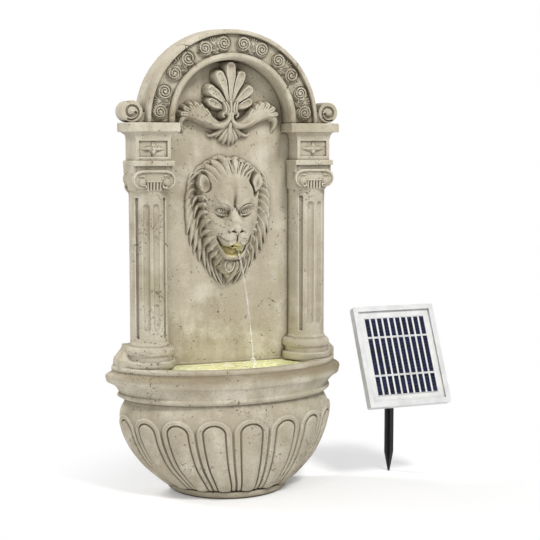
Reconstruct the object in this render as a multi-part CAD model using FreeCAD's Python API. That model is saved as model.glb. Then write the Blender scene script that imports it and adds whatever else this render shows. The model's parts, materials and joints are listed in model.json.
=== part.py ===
# Garden wall fountain with a solar panel on a stake.
# Millimetres. Origin: centre of the foot's underside. +Z up, front faces -Y.
# p is the distance in front of the wall plane, so y = wall_y - p.
import FreeCAD
import Part
import math
import os

Vector = FreeCAD.Vector
X_AXIS = Vector(1, 0, 0)
Y_AXIS = Vector(0, 1, 0)
Z_AXIS = Vector(0, 0, 1)

# Shared frame and clearances
wall_y = 18.0
fit_gap = 0.05
run_gap = 0.06
far = 400.0

# Wall panel and niche
niche_half = 112.0
niche_p = 26.0
deck_z = 222.0
arch_seat_z = 627.0
arch_z = 630.0
arch_front_r = 150.0
arch_back_r = 156.0
arch_front_p = 65.0
arch_lip_r = 143.8
frieze_p = 60.0
bead_outer_r = 114.0
bead_inner_r = 101.5
bead_p = 64.0
bead_round = 4.0
arch_floor_z = 556.0
shell = 8.0

# Scroll frieze on the arch
scroll_r = 129.5
scroll_disc = 7.0
scroll_eye = 3.0
scroll_rise = 2.5
scroll_eye_rise = 4.0
scroll_pairs = 6
scroll_pitch = 30.4
scroll_split = 8.0

# Rear cover and the hollow behind it
cover_t = 3.0
cover_half = 156.0
cover_z0 = 64.0
cover_shoulder_z = 556.0
cover_neck_half = 108.0
cover_arch_r = 147.0
hollow_p = 18.0
ledge_w = 10.0
hollow_half = cover_half - ledge_w
hollow_z0 = cover_z0 + ledge_w
arch_hollow_r = cover_arch_r - ledge_w
arch_wall = 7.0
arch_core_r = bead_inner_r + arch_wall
arch_hollow_p = 54.0
cover_screw_side_z = (90.0, 200.0, 300.0, 420.0, 545.0)
cover_screw_arch_deg = (20.0, 90.0, 160.0)
cover_screw_foot_x = 70.0
screw_r = 1.5
screw_len = 12.0
screw_head_r = 3.0
screw_head_t = 1.6
screw_slot_w = 1.0

# Basin: (height, half width, half depth, centre p) of each horizontal oval
foot_r = 98.0
foot_top_r = 104.0
foot_h = 13.0
foot_step = 4.0
foot_p = 17.5
body_ovals = (
    (8.0, 94.0, 94.0, 17.5),
    (30.0, 123.0, 111.5, 16.5),
    (60.0, 155.0, 121.5, 14.5),
    (95.0, 176.0, 128.5, 12.0),
    (128.0, 186.5, 132.0, 10.4),
    (146.0, 185.5, 131.5, 9.0),
    (162.0, 178.0, 125.0, 8.0),
)
rim_ovals = (
    (157.0, 178.5, 125.5, 8.0),
    (163.0, 184.0, 130.0, 8.0),
    (167.0, 191.5, 134.5, 6.7),
    (173.0, 191.5, 134.5, 6.7),
    (175.0, 189.0, 132.5, 6.7),
    (184.0, 194.5, 134.5, 6.7),
    (191.0, 204.0, 137.0, 6.7),
    (193.0, 209.5, 138.5, 6.7),
    (199.0, 211.0, 138.8, 6.7),
    (206.0, 211.7, 138.5, 6.7),
    (212.0, 209.0, 135.5, 6.7),
    (216.0, 205.5, 132.0, 6.7),
    (deck_z, 202.0, 129.0, 6.7),
)
pool_ovals = (
    (26.0, 108.0, 96.0, 14.5),
    (60.0, 143.0, 111.0, 13.5),
    (95.0, 165.0, 118.5, 11.5),
    (128.0, 175.0, 122.0, 10.0),
    (158.0, 171.0, 118.5, 8.0),
    (190.0, 176.0, 116.0, 6.7),
    (deck_z, 179.0, 115.0, 6.7),
)
pool_corner_half = 101.0
pool_corner_p = 42.0

# Gadroon lobes: how far they stand out of each oval of the body
lobe_rises = (1.0, 4.0, 5.5, 6.5, 6.5, 4.0, 0.2)
lobe_ring_count = 18
lobe_points = 4

# Columns: half round shaft on a flat back strip
col_x = 142.0
col_p = 36.0
shaft_r = 31.5
shaft_z0 = 256.0
shaft_z1 = 510.0
back_half = 30.0
flank_x = 167.0
plinth_in_x = 101.6
plinth_out_x = 198.0
plinth_p = 41.0
plinth_r = 42.5
plinth_z1 = 233.0
cavetto_r = 37.0
cavetto_p = 38.0
torus_r = 40.5
torus_z0 = 239.0
torus_z1 = 256.0
torus_round = 7.0
flute_r = 5.5
flute_turn_deg = 8.0
flute_deg = 16.0
flute_z0 = 287.0
flute_z1 = 487.0
side_flute_r = 3.2
side_flute_deg = 48.0
side_flute_z0 = 273.0
side_flute_z1 = 503.0
neck_ring_r = 34.0
neck_ring_z1 = 518.0
echinus_r = 35.5
echinus_z1 = 553.0
volute_r = 13.5
volute_x = 19.0
volute_z = 536.0
volute_p = 75.0
volute_eye_r = 4.5
volute_eye_rise = 2.0
reed_r = 2.2
reed_count = 5
reed_pitch = 5.0
ledge_half = 35.0
ledge_p = 74.0
ledge_z0 = 553.0
ledge_z1 = 565.0
block_half = 30.0
block_p = 68.0
block_z1 = 603.0
block_panel_margin = 6.0
block_panel_depth = 3.0
flower_petal = 10.0
flower_r = 3.2
flower_rise = 2.5
cornice_half = 44.0
cornice_p = 77.0
cornice_z0 = 613.6
top_scroll_x = 174.0
top_scroll_z = 645.0
top_scroll_r = 18.0
top_scroll_p0 = 14.0
top_scroll_p = 56.0
top_scroll_eye_r = 6.0
top_scroll_eye_rise = 3.0
top_scroll_foot = 9.0
col_hollow_in = 120.0
col_hollow_p = 46.0
col_hollow_z1 = 546.0

# Lion mask
mask_cz = 472.0
mane_half = 74.0
mane_top = 96.0
mane_bottom = 120.0
mane_levels = (
    (niche_p, 0.97),
    (34.0, 1.0),
    (44.0, 0.88),
    (52.0, 0.68),
)
mane_lobes = 14
mane_wave = 0.05
mane_narrow = 0.52
face_cz = 478.0
face_levels = (
    (niche_p, 50.0, 46.0, 58.0),
    (50.0, 47.0, 44.0, 56.0),
    (62.0, 38.0, 38.0, 44.0),
    (68.0, 22.0, 28.0, 26.0),
)
muzzle_cz = 444.0
muzzle_levels = (
    (niche_p, 30.0, 24.0, 16.0),
    (66.0, 27.0, 22.0, 14.0),
    (78.0, 21.0, 17.0, 11.0),
    (84.0, 12.0, 10.0, 7.0),
)
nose_r = 9.0
nose_p = 79.0
nose_z = 455.0
chin_r = 15.0
chin_p = 48.0
chin_z = 404.0
brow_r = 11.0
brow_x = 20.5
brow_p = 58.0
brow_z = 494.0
ear_r = 11.0
ear_x = 51.0
ear_p = 40.0
ear_z = 528.0
mouth_half = 15.0
mouth_z = 421.0
mouth_r = 9.5
mouth_p0 = 41.0

# Palmette crest
crest_p = 36.0
crest_spine_p = 46.0
crest_base_z = 652.0
petal_tips = ((0.0, 729.0), (21.0, 714.0), (39.5, 690.0), (38.0, 669.0))
petal_widths = (20.0, 18.0, 17.0, 13.0)
petal_rises = (46.0, 44.0, 41.0, 36.0)
petal_root_half = 2.5
collar_half = 12.0
collar_z0 = 647.0
collar_z1 = 655.0
crest_eye_r = 8.5
crest_eye_x = 10.0
crest_eye_z = 638.0
leaf_outline = (
    (0.0, 645.0),
    (22.0, 648.0),
    (45.0, 641.0),
    (66.0, 638.0),
    (83.0, 641.0),
    (85.0, 630.0),
    (74.0, 619.0),
    (60.0, 624.0),
    (42.0, 619.0),
    (22.0, 612.0),
    (10.0, 600.0),
    (0.0, 583.0),
)

# Water line through the wall
hose_in_r = 4.0
hose_out_r = 5.5
barb_bore_r = 2.8
hose_p = 10.0
port_z = 120.0
stem_r = 6.0
port_flange_r = 11.0
port_flange_t = 3.0
seal_t = 1.5
nut_af = 15.4
elbow_body_r = 5.0
elbow_step = 0.4
barb_len = 16.0
port_barb_end_p = 44.0
spout_r = 5.0
spout_bore_r = 4.0
spout_tip_p = 52.0
spout_root_p = 17.0
clamp_t = 0.8
clamp_w = 5.0

# Pump on the basin floor
floor_z = 26.0
pump_half = 24.0
pump_p0 = 36.0
pump_p1 = 70.0
pump_z0 = 32.0
pump_z1 = 66.0
pump_round = 3.0
rotor_r = 6.5
rotor_p0 = 42.0
rotor_p1 = 60.0
rotor_z = 48.0
well_gap = 0.5
chamber_r = 13.0
chamber_p0 = 61.0
vane_r = 11.5
vane_count = 6
vane_t = 1.2
vane_p1 = 67.5
pin_r = 1.0
pin_p0 = 38.0
pin_p1 = 71.0
cover_plate_t = 2.0
inlet_r = 5.5
outlet_p = 62.0
outlet_z1 = 84.0
strainer_p1 = 88.0
strainer_wall = 2.0
slot_w = 2.4
slot_pitch = 5.0
slot_count = 7
sponge_gap = 1.0
slider_half = 7.0
slider_t = 2.0
slider_z0 = 36.0
slider_z1 = 40.0
slider_travel = 5.0
rail_h = 1.2
cup_r = 7.0
cup_neck_r = 2.5
cup_inset = 8.0

# Basin light
light_x = -66.0
light_p = 62.0
light_r = 20.0
light_h = 15.0
light_wall = 2.0
light_lens_t = 2.0
light_board_t = 1.6
led_half = 1.8
led_t = 1.0
led_ring_r = 9.0
led_count = 6

# Mouth light
ring_r = 11.0
ring_p0 = 28.0
ring_p1 = 36.0
ring_lens_t = 1.5

# Cable entries
gland_x = 34.0
gland_z = 120.0
gland_r = 6.0
gland_flange_r = 9.0
gland_bore_r = 3.0
grommet_x = 70.0
grommet_z = 100.0
grommet_r = 5.0
grommet_lip_r = 7.5
grommet_lip_t = 1.5

# Hanger plates
hanger_x = 140.0
hanger_rise = 28.0
hanger_z = cover_shoulder_z + hanger_rise
hanger_half = 18.0
hanger_tall = 11.0
hanger_t = 2.0
hanger_hole_r = 4.5
hanger_pocket_p = 14.0
hanger_pocket_r = 7.0
hanger_screw_x = 13.5

# Solar panel head, in its own frame: x right, y back from the glass, z up
panel_x = 305.0
panel_p = 88.4
panel_z = 221.6
panel_tilt = 25.0
panel_w = 158.0
panel_h = 183.0
panel_depth = 15.0
panel_edge_round = 3.0
panel_lip = 9.0
panel_lip_t = 1.5
panel_wall = 3.0
glass_t = 3.0
cell_t = 0.3
backing_t = 1.0
cell_cols = 10
cell_pitch = 12.0
cell_w = 8.4
cell_rows = (33.0, 66.0, 33.0)
cell_row_gap = 3.5
ribbon_h = 1.2
panel_back_t = 2.5
box_w = 84.0
box_h = 96.0
box_z = -4.0
box_depth = 24.0
box_wall = 2.5
box_seal_t = 1.0
box_lid_t = 2.5
box_screw_r = 1.5
box_screw_inset = 6.0
box_post_r = 4.0
battery_r = 7.2
battery_len = 50.5
battery_count = 3
battery_gap = 0.4
battery_inset = 8.0
battery_top = box_z + box_h / 2 - box_wall - battery_inset
battery_bottom = battery_top - battery_count * (2 * battery_r + battery_gap) + battery_gap
button_x = 24.0
button_inset = 14.0
button_z = box_z - box_h / 2 + button_inset
board_w = 50.0
board_gap = 3.5
board_h = battery_bottom - board_gap - button_z
board_t = 1.6
button_r = 5.0
button_cap_t = 2.0
button_stem_r = 2.0
button_travel = 1.5
socket_r = 5.0
socket_bore_r = 2.75
socket_len = 10.0
socket_x = 18.0

# Bracket, tilt head and stake
pivot_depth = 54.5
ear_round_r = 8.0
ear_t = 4.0
head_ear_t = 8.0
ear_gap = 0.1
bracket_plate_t = 2.5
bracket_plate_h = 22.0
bracket_plate_w = 27.0
bracket_screw_x = 10.8
bolt_r = 2.5
bolt_head_r = 4.5
bolt_head_t = 3.5
bolt_len = 29.0
nut_hub_r = 4.6
nut_hub_len = 9.0
wing_span = 10.5
wing_t = 2.0
wing_in = 5.7
wing_h = 14.0
head_r = 11.0
head_drop0 = 12.0
head_len = 26.0
head_cap = 8.0
tube_r = 8.5
tube_bore_r = 6.9
tube_z0 = 122.0
plug_len = 18.0
spike_half = 8.5
spike_rib_t = 3.0
spike_taper_z = 36.0
spike_collar_t = 4.0


def box(x0, x1, p0, p1, z0, z1):
    return Part.makeBox(x1 - x0, p1 - p0, z1 - z0, Vector(x0, wall_y - p1, z0))


def rod(x, z, r, p0, p1):
    """Cylinder along the depth direction."""
    return Part.makeCylinder(r, p1 - p0, Vector(x, wall_y - p1, z), Y_AXIS)


def post(x, p, r, z0, z1):
    """Upright cylinder."""
    return Part.makeCylinder(r, z1 - z0, Vector(x, wall_y - p, z0), Z_AXIS)


def ball(x, p, z, r):
    return Part.makeSphere(r, Vector(x, wall_y - p, z))


def join(shapes):
    first = shapes[0]
    if len(shapes) > 1:
        first = first.fuse(shapes[1:])
    return single(first.removeSplitter())


def single(shape):
    if len(shape.Solids) == 1:
        return shape.Solids[0]
    return shape


def oval_wire(z, a, b, p):
    curve = Part.Ellipse(Vector(0, wall_y - p, z), a + 0.001, b)
    return Part.Wire([curve.toShape()])


def oval_loft(ovals, ruled):
    return Part.makeLoft([oval_wire(*o) for o in ovals], True, ruled)


def closed_curve(points):
    curve = Part.BSplineCurve()
    curve.interpolate(points, PeriodicFlag=True)
    return Part.Wire([curve.toShape()])


def plate(points, p0, p1):
    """Flat piece with a smooth closed outline given as (x, z) points."""
    wire = closed_curve([Vector(x, wall_y - p0, z) for x, z in points])
    return Part.Face(wire).extrude(Vector(0, p0 - p1, 0))


def mirrored(shape):
    return single(shape.mirror(Vector(0, 0, 0), X_AXIS))


def half_disc(r, p0, p1):
    disc = rod(0, arch_z, r, p0, p1)
    return disc.common(box(-far, far, p0 - 1, p1 + 1, arch_z, arch_z + far))


# Rear cover outline, shared by the cover and by its seat in the castings
def cover_blank(grow):
    low = box(-cover_half - grow, cover_half + grow, 0, cover_t, cover_z0 - grow, cover_shoulder_z + grow)
    neck = box(-cover_neck_half - grow, cover_neck_half + grow, 0, cover_t, cover_shoulder_z, arch_z)
    return low.fuse([neck, half_disc(cover_arch_r + grow, 0, cover_t)]).removeSplitter()


def cover_screw_points():
    edge = cover_half - ledge_w / 2
    points = []
    for z in cover_screw_side_z:
        points += [(edge, z), (-edge, z)]
    for deg in cover_screw_arch_deg:
        r = cover_arch_r - ledge_w / 2
        points.append((r * math.cos(math.radians(deg)), arch_z + r * math.sin(math.radians(deg))))
    foot_z = cover_z0 + ledge_w / 2
    points += [(cover_screw_foot_x, foot_z), (-cover_screw_foot_x, foot_z)]
    return points


def cover_screw_holes(grow):
    return [rod(x, z, screw_r + grow, 0, screw_len + grow) for x, z in cover_screw_points()]


# Basin
def lobed_wire(oval, rise):
    """Horizontal oval with evenly spaced rounded lobes; one lobe faces the front."""
    z, a, b, p = oval
    points = []
    count = lobe_ring_count * lobe_points
    for i in range(count):
        t = 2 * math.pi * i / count
        out = Vector(math.sin(t) / a, -math.cos(t) / b, 0).normalize()
        height = rise * (0.5 + 0.5 * math.cos(lobe_ring_count * t))
        points.append(Vector(a * math.sin(t), wall_y - p - b * math.cos(t), z) + out * height)
    return closed_curve(points)


def make_basin():
    foot = oval_loft(((0, foot_r, foot_r, foot_p), (foot_step, foot_top_r, foot_top_r, foot_p),
                      (foot_h, foot_top_r, foot_top_r, foot_p)), True)
    wires = [lobed_wire(oval, rise) for oval, rise in zip(body_ovals, lobe_rises)]
    body = Part.makeLoft(wires, True, False)
    rim = oval_loft(rim_ovals, True)
    outer = body.fuse(foot).fuse(rim)
    outer = outer.common(box(-far, far, 0, far, -1, far))
    pool = oval_loft(pool_ovals, True)
    pool = pool.common(box(-far, far, niche_p, far, 0, far))
    for side in (-1, 1):
        corner_x = sorted((side * pool_corner_half, side * far))
        pool = pool.cut(box(corner_x[0], corner_x[1], 0, pool_corner_p, 0, far))
    outer = outer.cut(pool)
    outer = outer.cut(box(-hollow_half, hollow_half, -1, hollow_p, hollow_z0, deck_z + 1))
    outer = outer.cut(rod(0, port_z, stem_r + fit_gap, 0, niche_p + 1))
    outer = outer.cut(rod(gland_x, gland_z, gland_r + fit_gap, 0, niche_p + 1))
    return single(cut_cover_seat(outer))


def cut_cover_seat(shape):
    shape = shape.cut(cover_blank(fit_gap))
    return single(shape.cut(cover_screw_holes(fit_gap)))


# Wall panel with the arch
def arch_ring():
    outline = [
        (bead_inner_r, 0),
        (bead_inner_r, bead_p - bead_round),
        (bead_inner_r + bead_round, bead_p),
        (bead_outer_r - bead_round, bead_p),
        (bead_outer_r, frieze_p),
        (arch_lip_r, frieze_p),
        (arch_lip_r, arch_front_p),
        (arch_front_r, arch_front_p),
        (arch_back_r, 0),
    ]
    points = [Vector(r, wall_y - p, arch_z) for r, p in outline]
    face = Part.Face(Part.makePolygon(points + points[:1]))
    ring = face.revolve(Vector(0, 0, arch_z), Vector(0, -1, 0), 180)
    legs = [face.extrude(Vector(0, 0, arch_seat_z - arch_z))]
    legs.append(mirrored(legs[0]))
    return ring.fuse(legs)


def scroll_frieze():
    pieces = []
    for i in range(scroll_pairs):
        middle = 90 + (i - (scroll_pairs - 1) / 2) * scroll_pitch
        for side in (-1, 1):
            t = math.radians(middle + side * scroll_split)
            x = scroll_r * math.cos(t)
            z = arch_z + scroll_r * math.sin(t)
            pieces.append(rod(x, z, scroll_disc, frieze_p - 1, frieze_p + scroll_rise))
            pieces.append(rod(x, z, scroll_eye, frieze_p - 1, frieze_p + scroll_eye_rise))
    return pieces


def make_wall_panel():
    plate_low = box(-niche_half, niche_half, 0, niche_p, deck_z, arch_z)
    plate_top = half_disc(bead_inner_r + 1, 0, niche_p)
    shape = plate_low.fuse([plate_top, arch_ring()])
    shape = shape.fuse(scroll_frieze())
    inner = niche_half - shell
    shape = shape.cut(box(-inner, inner, -1, hollow_p, deck_z - 1, cover_shoulder_z))
    narrow = cover_neck_half - ledge_w
    shape = shape.cut(box(-narrow, narrow, -1, hollow_p, cover_shoulder_z - 1, arch_z))
    shape = shape.cut(half_disc(arch_hollow_r, -1, hollow_p))
    groove = half_disc(arch_hollow_r, hollow_p - 1, arch_hollow_p).cut(half_disc(arch_core_r, hollow_p - 2, far))
    shape = shape.cut(groove)
    shape = shape.cut(rod(0, mouth_z, spout_r + fit_gap, 0, niche_p + 1))
    return cut_cover_seat(shape)


# Column
def column_plan(grow, p_grow, z0, z1):
    strip = box(col_x - back_half - grow, max(flank_x, col_x + grow), 0, col_p + p_grow, z0, z1)
    return strip.fuse(post(col_x, col_p, shaft_r + grow, z0, z1))


def fluted_shaft():
    strip = box(col_x - back_half, flank_x, 0, col_p, torus_z1, ledge_z0)
    shaft = post(col_x, col_p, shaft_r, torus_z0, ledge_z0).fuse(strip)
    cuts = []
    for deg, r, z0, z1 in ((flute_deg, flute_r, flute_z0, flute_z1),
                           (side_flute_deg, side_flute_r, side_flute_z0, side_flute_z1)):
        for side in (-1, 1):
            t = math.radians(flute_turn_deg + side * deg)
            x = col_x + shaft_r * math.sin(t)
            p = col_p + shaft_r * math.cos(t)
            cuts.append(post(x, p, r, z0, z1))
            cuts.append(ball(x, p, z0, r))
            cuts.append(ball(x, p, z1, r))
    return shaft.cut(cuts)


def column_base():
    plinth = box(plinth_in_x, plinth_out_x, 0, plinth_p, deck_z, plinth_z1)
    plinth_front = post(col_x, col_p, plinth_r, deck_z, plinth_z1)
    drum = post(col_x, cavetto_p, cavetto_r, plinth_z1, torus_z0)
    strip = box(col_x - cavetto_r, col_x + cavetto_r + shell, 0, cavetto_p, plinth_z1, torus_z0)
    torus = post(col_x, col_p, torus_r, torus_z0, torus_z1)
    torus = torus.makeFillet(torus_round, [e for e in torus.Edges if e.Closed and len(e.Vertexes) == 1
                                           and abs(e.Curve.Radius - torus_r) < 0.1])
    slab = box(col_x - torus_r, col_x + torus_r, 0, col_p - shell, torus_z0, torus_z1)
    return [plinth, plinth_front, drum, strip, torus, slab]


def capital():
    pieces = [post(col_x, col_p, neck_ring_r, shaft_z1, neck_ring_z1)]
    pieces.append(post(col_x, col_p, echinus_r, neck_ring_z1 + 2, echinus_z1))
    for side in (-1, 1):
        x = col_x + side * volute_x
        pieces.append(rod(x, volute_z, volute_r, 0, volute_p - 2))
        pieces.append(rod(x, volute_z, volute_eye_r, 0, volute_p - 2 + volute_eye_rise))
    for i in range(reed_count):
        x = col_x + (i - (reed_count - 1) / 2) * reed_pitch
        pieces.append(post(x, col_p + echinus_r - 1, reed_r, neck_ring_z1 + 4, echinus_z1 - 2))
    return pieces


def frieze_block():
    block = box(col_x - block_half, col_x + block_half, 0, block_p, ledge_z1, cornice_z0)
    m = block_panel_margin
    recess = box(col_x - block_half + m, col_x + block_half - m, block_p - block_panel_depth, far,
                 ledge_z1 + m, block_z1 - m / 2)
    block = block.cut(recess)
    mid_z = (ledge_z1 + m + block_z1 - m / 2) / 2
    flower = [rod(col_x, mid_z, flower_r, block_p - block_panel_depth - 1, block_p)]
    for i in range(4):
        t = math.radians(45 + 90 * i)
        x = col_x + flower_petal * 0.6 * math.cos(t)
        z = mid_z + flower_petal * 0.6 * math.sin(t)
        flower.append(rod(x, z, flower_r, block_p - block_panel_depth - 1,
                          block_p - block_panel_depth + flower_rise))
    return [block] + flower


def cornice():
    slab = box(col_x - cornice_half, col_x + cornice_half, 0, cornice_p, cornice_z0, arch_seat_z)
    drop = cornice_z0 - block_z1
    wires = []
    for grow, z in ((0, block_z1), (drop * 0.3, block_z1 + drop * 0.6), (drop * 0.8, cornice_z0)):
        x0 = col_x - block_half - grow
        x1 = col_x + block_half + grow
        y0 = wall_y - block_p - grow
        points = [Vector(x0, y0, z), Vector(x1, y0, z), Vector(x1, wall_y, z), Vector(x0, wall_y, z)]
        wires.append(Part.makePolygon(points + points[:1]))
    cove = Part.makeLoft(wires, True, True)
    scroll = rod(top_scroll_x, top_scroll_z, top_scroll_r, top_scroll_p0, top_scroll_p)
    eye = rod(top_scroll_x, top_scroll_z, top_scroll_eye_r, top_scroll_p0,
              top_scroll_p + top_scroll_eye_rise)
    foot = box(top_scroll_x - top_scroll_foot, top_scroll_x + top_scroll_foot, top_scroll_p0, top_scroll_p,
               arch_seat_z - 1, top_scroll_z - top_scroll_r / 2)
    return [slab, cove, scroll, eye, foot]


def make_column():
    ledge = box(col_x - ledge_half, col_x + ledge_half, 0, ledge_p, ledge_z0, ledge_z1)
    shape = join([fluted_shaft(), ledge] + column_base() + capital() + frieze_block() + cornice())
    shape = shape.common(box(0, far, 0, far, 0, far * 2))
    shape = shape.cut(box(0, niche_half, -1, niche_p, 0, far * 2))
    pocket = box(col_hollow_in, hollow_half, -1, col_hollow_p, torus_z1, col_hollow_z1)
    shape = shape.cut(pocket)
    shape = shape.cut(box(hanger_x - hanger_half - fit_gap, hanger_x + hanger_half + fit_gap, -1, hanger_t,
                          hanger_z - hanger_tall - fit_gap, hanger_z + hanger_tall + fit_gap))
    shape = shape.cut(rod(hanger_x, hanger_z, hanger_pocket_r, -1, hanger_pocket_p))
    shape = shape.cut(hanger_screw_rods(fit_gap))
    return cut_cover_seat(shape)


# Lion mask
def mask_ring(p, half, top, bottom, cz, wave, narrow):
    points = []
    count = mane_lobes * 4
    for i in range(count):
        t = 2 * math.pi * i / count
        s = math.sin(t)
        r = 1 + wave * math.cos(mane_lobes * t)
        pinch = 1 - narrow * s * s if s < 0 else 1
        points.append(Vector(half * math.cos(t) * r * pinch, wall_y - p, cz + (top if s > 0 else bottom) * s * r))
    return closed_curve(points)


def mask_loft(levels, cz, wave, narrow):
    wires = [mask_ring(p, half, top, bottom, cz, wave, narrow) for p, half, top, bottom in levels]
    return Part.makeLoft(wires, True, False)


def make_lion_mask():
    mane_rows = [(p, mane_half * k, mane_top * k, mane_bottom * k) for p, k in mane_levels]
    mane = mask_loft(mane_rows, mask_cz, mane_wave, mane_narrow)
    face = mask_loft(face_levels, face_cz, 0.0, 0.2)
    muzzle = mask_loft(muzzle_levels, muzzle_cz, 0.0, 0.0)
    jaw = ball(0, chin_p, chin_z, chin_r).fuse(rod(0, chin_z, chin_r, niche_p, chin_p))
    parts = [mane, face, muzzle, jaw, ball(0, nose_p, nose_z, nose_r)]
    for side in (-1, 1):
        parts.append(ball(side * brow_x, brow_p, brow_z, brow_r))
        parts.append(ball(side * ear_x, ear_p, ear_z, ear_r))
    shape = parts[0]
    for part in parts[1:]:
        shape = shape.fuse(part)
    shape = shape.cut(box(-mouth_half, mouth_half, mouth_p0, far, mouth_z - mouth_r, mouth_z + mouth_r))
    shape = shape.cut(rod(0, mouth_z, ring_r + fit_gap, niche_p - 1, mouth_p0 + 2))
    return single(shape.common(box(-far, far, niche_p, far, 0, far * 2)))


# Palmette crest
def petal(tip_x, tip_z, width, rise):
    """Teardrop petal from the collar: a wedge that ends in a round tip."""
    length = math.hypot(tip_x, tip_z - crest_base_z)
    r = width / 2
    points = [Vector(-petal_root_half, 0, 0), Vector(petal_root_half, 0, 0), Vector(r, 0, length - r),
              Vector(-r, 0, length - r)]
    wedge = Part.Face(Part.makePolygon(points + points[:1])).extrude(Vector(0, niche_p - rise, 0))
    tip = Part.makeCylinder(r, rise - niche_p, Vector(0, niche_p - rise, length - r), Y_AXIS)
    shape = wedge.fuse(tip)
    lean_deg = math.degrees(math.atan2(tip_x, tip_z - crest_base_z))
    shape.rotate(Vector(0, 0, 0), Y_AXIS, lean_deg)
    shape.translate(Vector(0, wall_y - niche_p, crest_base_z))
    return shape


def make_crest():
    shapes = []
    for (x, z), width, rise in zip(petal_tips, petal_widths, petal_rises):
        for side in ((1,) if x == 0 else (1, -1)):
            shapes.append(petal(side * x, z, width, rise))
    outline = list(leaf_outline) + [(-x, z) for x, z in reversed(leaf_outline[1:-1])]
    shapes.append(plate(outline, niche_p, crest_p))
    shapes.append(box(-collar_half, collar_half, niche_p, crest_spine_p + 2, collar_z0, collar_z1))
    for side in (-1, 1):
        shapes.append(rod(side * crest_eye_x, crest_eye_z, crest_eye_r, niche_p, crest_spine_p))
    spine = [(0, 645), (-9, 625), (-7, 603), (0, 584), (7, 603), (9, 625)]
    shapes.append(plate(spine, niche_p, crest_spine_p))
    shape = shapes[0]
    for other in shapes[1:]:
        shape = shape.fuse(other)
    return single(shape.removeSplitter())


# Screws with a flat head; the head's top lies at p = head_p on the back side
def back_screw(x, z, face_p):
    shank = rod(x, z, screw_r, face_p, screw_len)
    head = Part.makeCone(screw_head_r, screw_r, screw_head_t, Vector(x, wall_y - face_p, z), Vector(0, -1, 0))
    slot = box(x - screw_head_r, x + screw_head_r, face_p - 1, face_p + screw_slot_w / 2,
               z - screw_slot_w / 2, z + screw_slot_w / 2)
    return single(shank.fuse(head).removeSplitter().cut(slot))


def screw_seat(x, z, face_p):
    cone = Part.makeCone(screw_head_r + fit_gap, screw_r + fit_gap, screw_head_t,
                         Vector(x, wall_y - face_p, z), Vector(0, -1, 0))
    return cone.fuse(rod(x, z, screw_r + fit_gap, face_p, screw_len + fit_gap))


def make_rear_cover():
    shape = cover_blank(0)
    shape = shape.cut([screw_seat(x, z, 0) for x, z in cover_screw_points()])
    return single(shape.cut(rod(grommet_x, grommet_z, grommet_r + fit_gap, -1, cover_t + 1)))


def make_cover_screws():
    return Part.makeCompound([back_screw(x, z, 0) for x, z in cover_screw_points()])


def hanger_points():
    return [(hanger_x + side * hanger_screw_x, hanger_z) for side in (-1, 1)]


def hanger_screw_rods(grow):
    return [rod(x, z, screw_r + grow, 0, screw_len + grow) for x, z in hanger_points()]


def make_hanger_plates():
    shape = box(hanger_x - hanger_half, hanger_x + hanger_half, 0, hanger_t,
                hanger_z - hanger_tall, hanger_z + hanger_tall)
    shape = shape.cut(rod(hanger_x, hanger_z, hanger_hole_r, -1, hanger_t + 1))
    shape = single(shape.cut([screw_seat(x, z, 0) for x, z in hanger_points()]))
    return Part.makeCompound([shape, mirrored(shape)])


def make_hanger_screws():
    right = [back_screw(x, z, 0) for x, z in hanger_points()]
    return Part.makeCompound(right + [mirrored(s) for s in right])


# Water line
def make_wall_elbow():
    flange_p0 = niche_p + seal_t
    shape = rod(0, port_z, stem_r, hose_p, niche_p)
    shape = shape.fuse([
        rod(0, port_z, stem_r, niche_p, flange_p0),
        rod(0, port_z, port_flange_r, flange_p0, flange_p0 + port_flange_t),
        rod(0, port_z, hose_in_r, flange_p0, port_barb_end_p),
        post(0, hose_p, elbow_body_r, port_z - stem_r, port_z + stem_r + 2),
        post(0, hose_p, hose_in_r, port_z, port_z + stem_r + 2 + barb_len),
    ])
    shape = shape.cut(rod(0, port_z, barb_bore_r, hose_p, port_barb_end_p + 1))
    shape = shape.cut(post(0, hose_p, barb_bore_r, port_z, port_z + 2 * barb_len))
    return single(shape.removeSplitter())


def make_port_seal():
    return rod(0, port_z, port_flange_r, niche_p, niche_p + seal_t).cut(
        rod(0, port_z, stem_r, niche_p - 1, niche_p + seal_t + 1))


def make_port_nut():
    r = nut_af / 2 / math.cos(math.radians(30))
    p0 = hose_p + hose_out_r + 4 * fit_gap
    points = [Vector(r * math.cos(math.radians(60 * i)), wall_y - p0, port_z + r * math.sin(math.radians(60 * i)))
              for i in range(7)]
    nut = Part.Face(Part.makePolygon(points)).extrude(Vector(0, p0 - hollow_p, 0))
    return single(nut.cut(rod(0, port_z, stem_r, p0 - 1, hollow_p + 1)))


def hose_shell(path_points, bend):
    """Round hose along straight runs joined by one tangent arc."""
    start, corner, end = path_points
    d0 = (corner - start).normalize()
    d1 = (end - corner).normalize()
    first = corner - d0 * bend
    last = corner + d1 * bend
    centre = first + d1 * bend
    middle = centre + (corner - centre).normalize() * bend
    edges = [Part.makeLine(start, first), Part.Arc(first, middle, last).toShape(), Part.makeLine(last, end)]
    path = Part.Wire(edges)
    sides = []
    for r in (hose_out_r, hose_in_r):
        section = Part.Wire([Part.makeCircle(r, start, d0)])
        sides.append(path.makePipeShell([section], True, True))
    return single(sides[0].cut(sides[1]))


def make_pump_hose():
    start = Vector(0, wall_y - outlet_p, pump_z1 + 2)
    corner = Vector(0, wall_y - outlet_p, port_z)
    end = Vector(0, wall_y - (niche_p + seal_t + port_flange_t), port_z)
    shorter = (corner - end).Length
    bend = 0.45 * shorter / math.tan(math.radians(45))
    return hose_shell((start, corner, end), bend)


def riser_span():
    return port_z + stem_r + 2, mouth_z - elbow_body_r - 1


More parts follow.
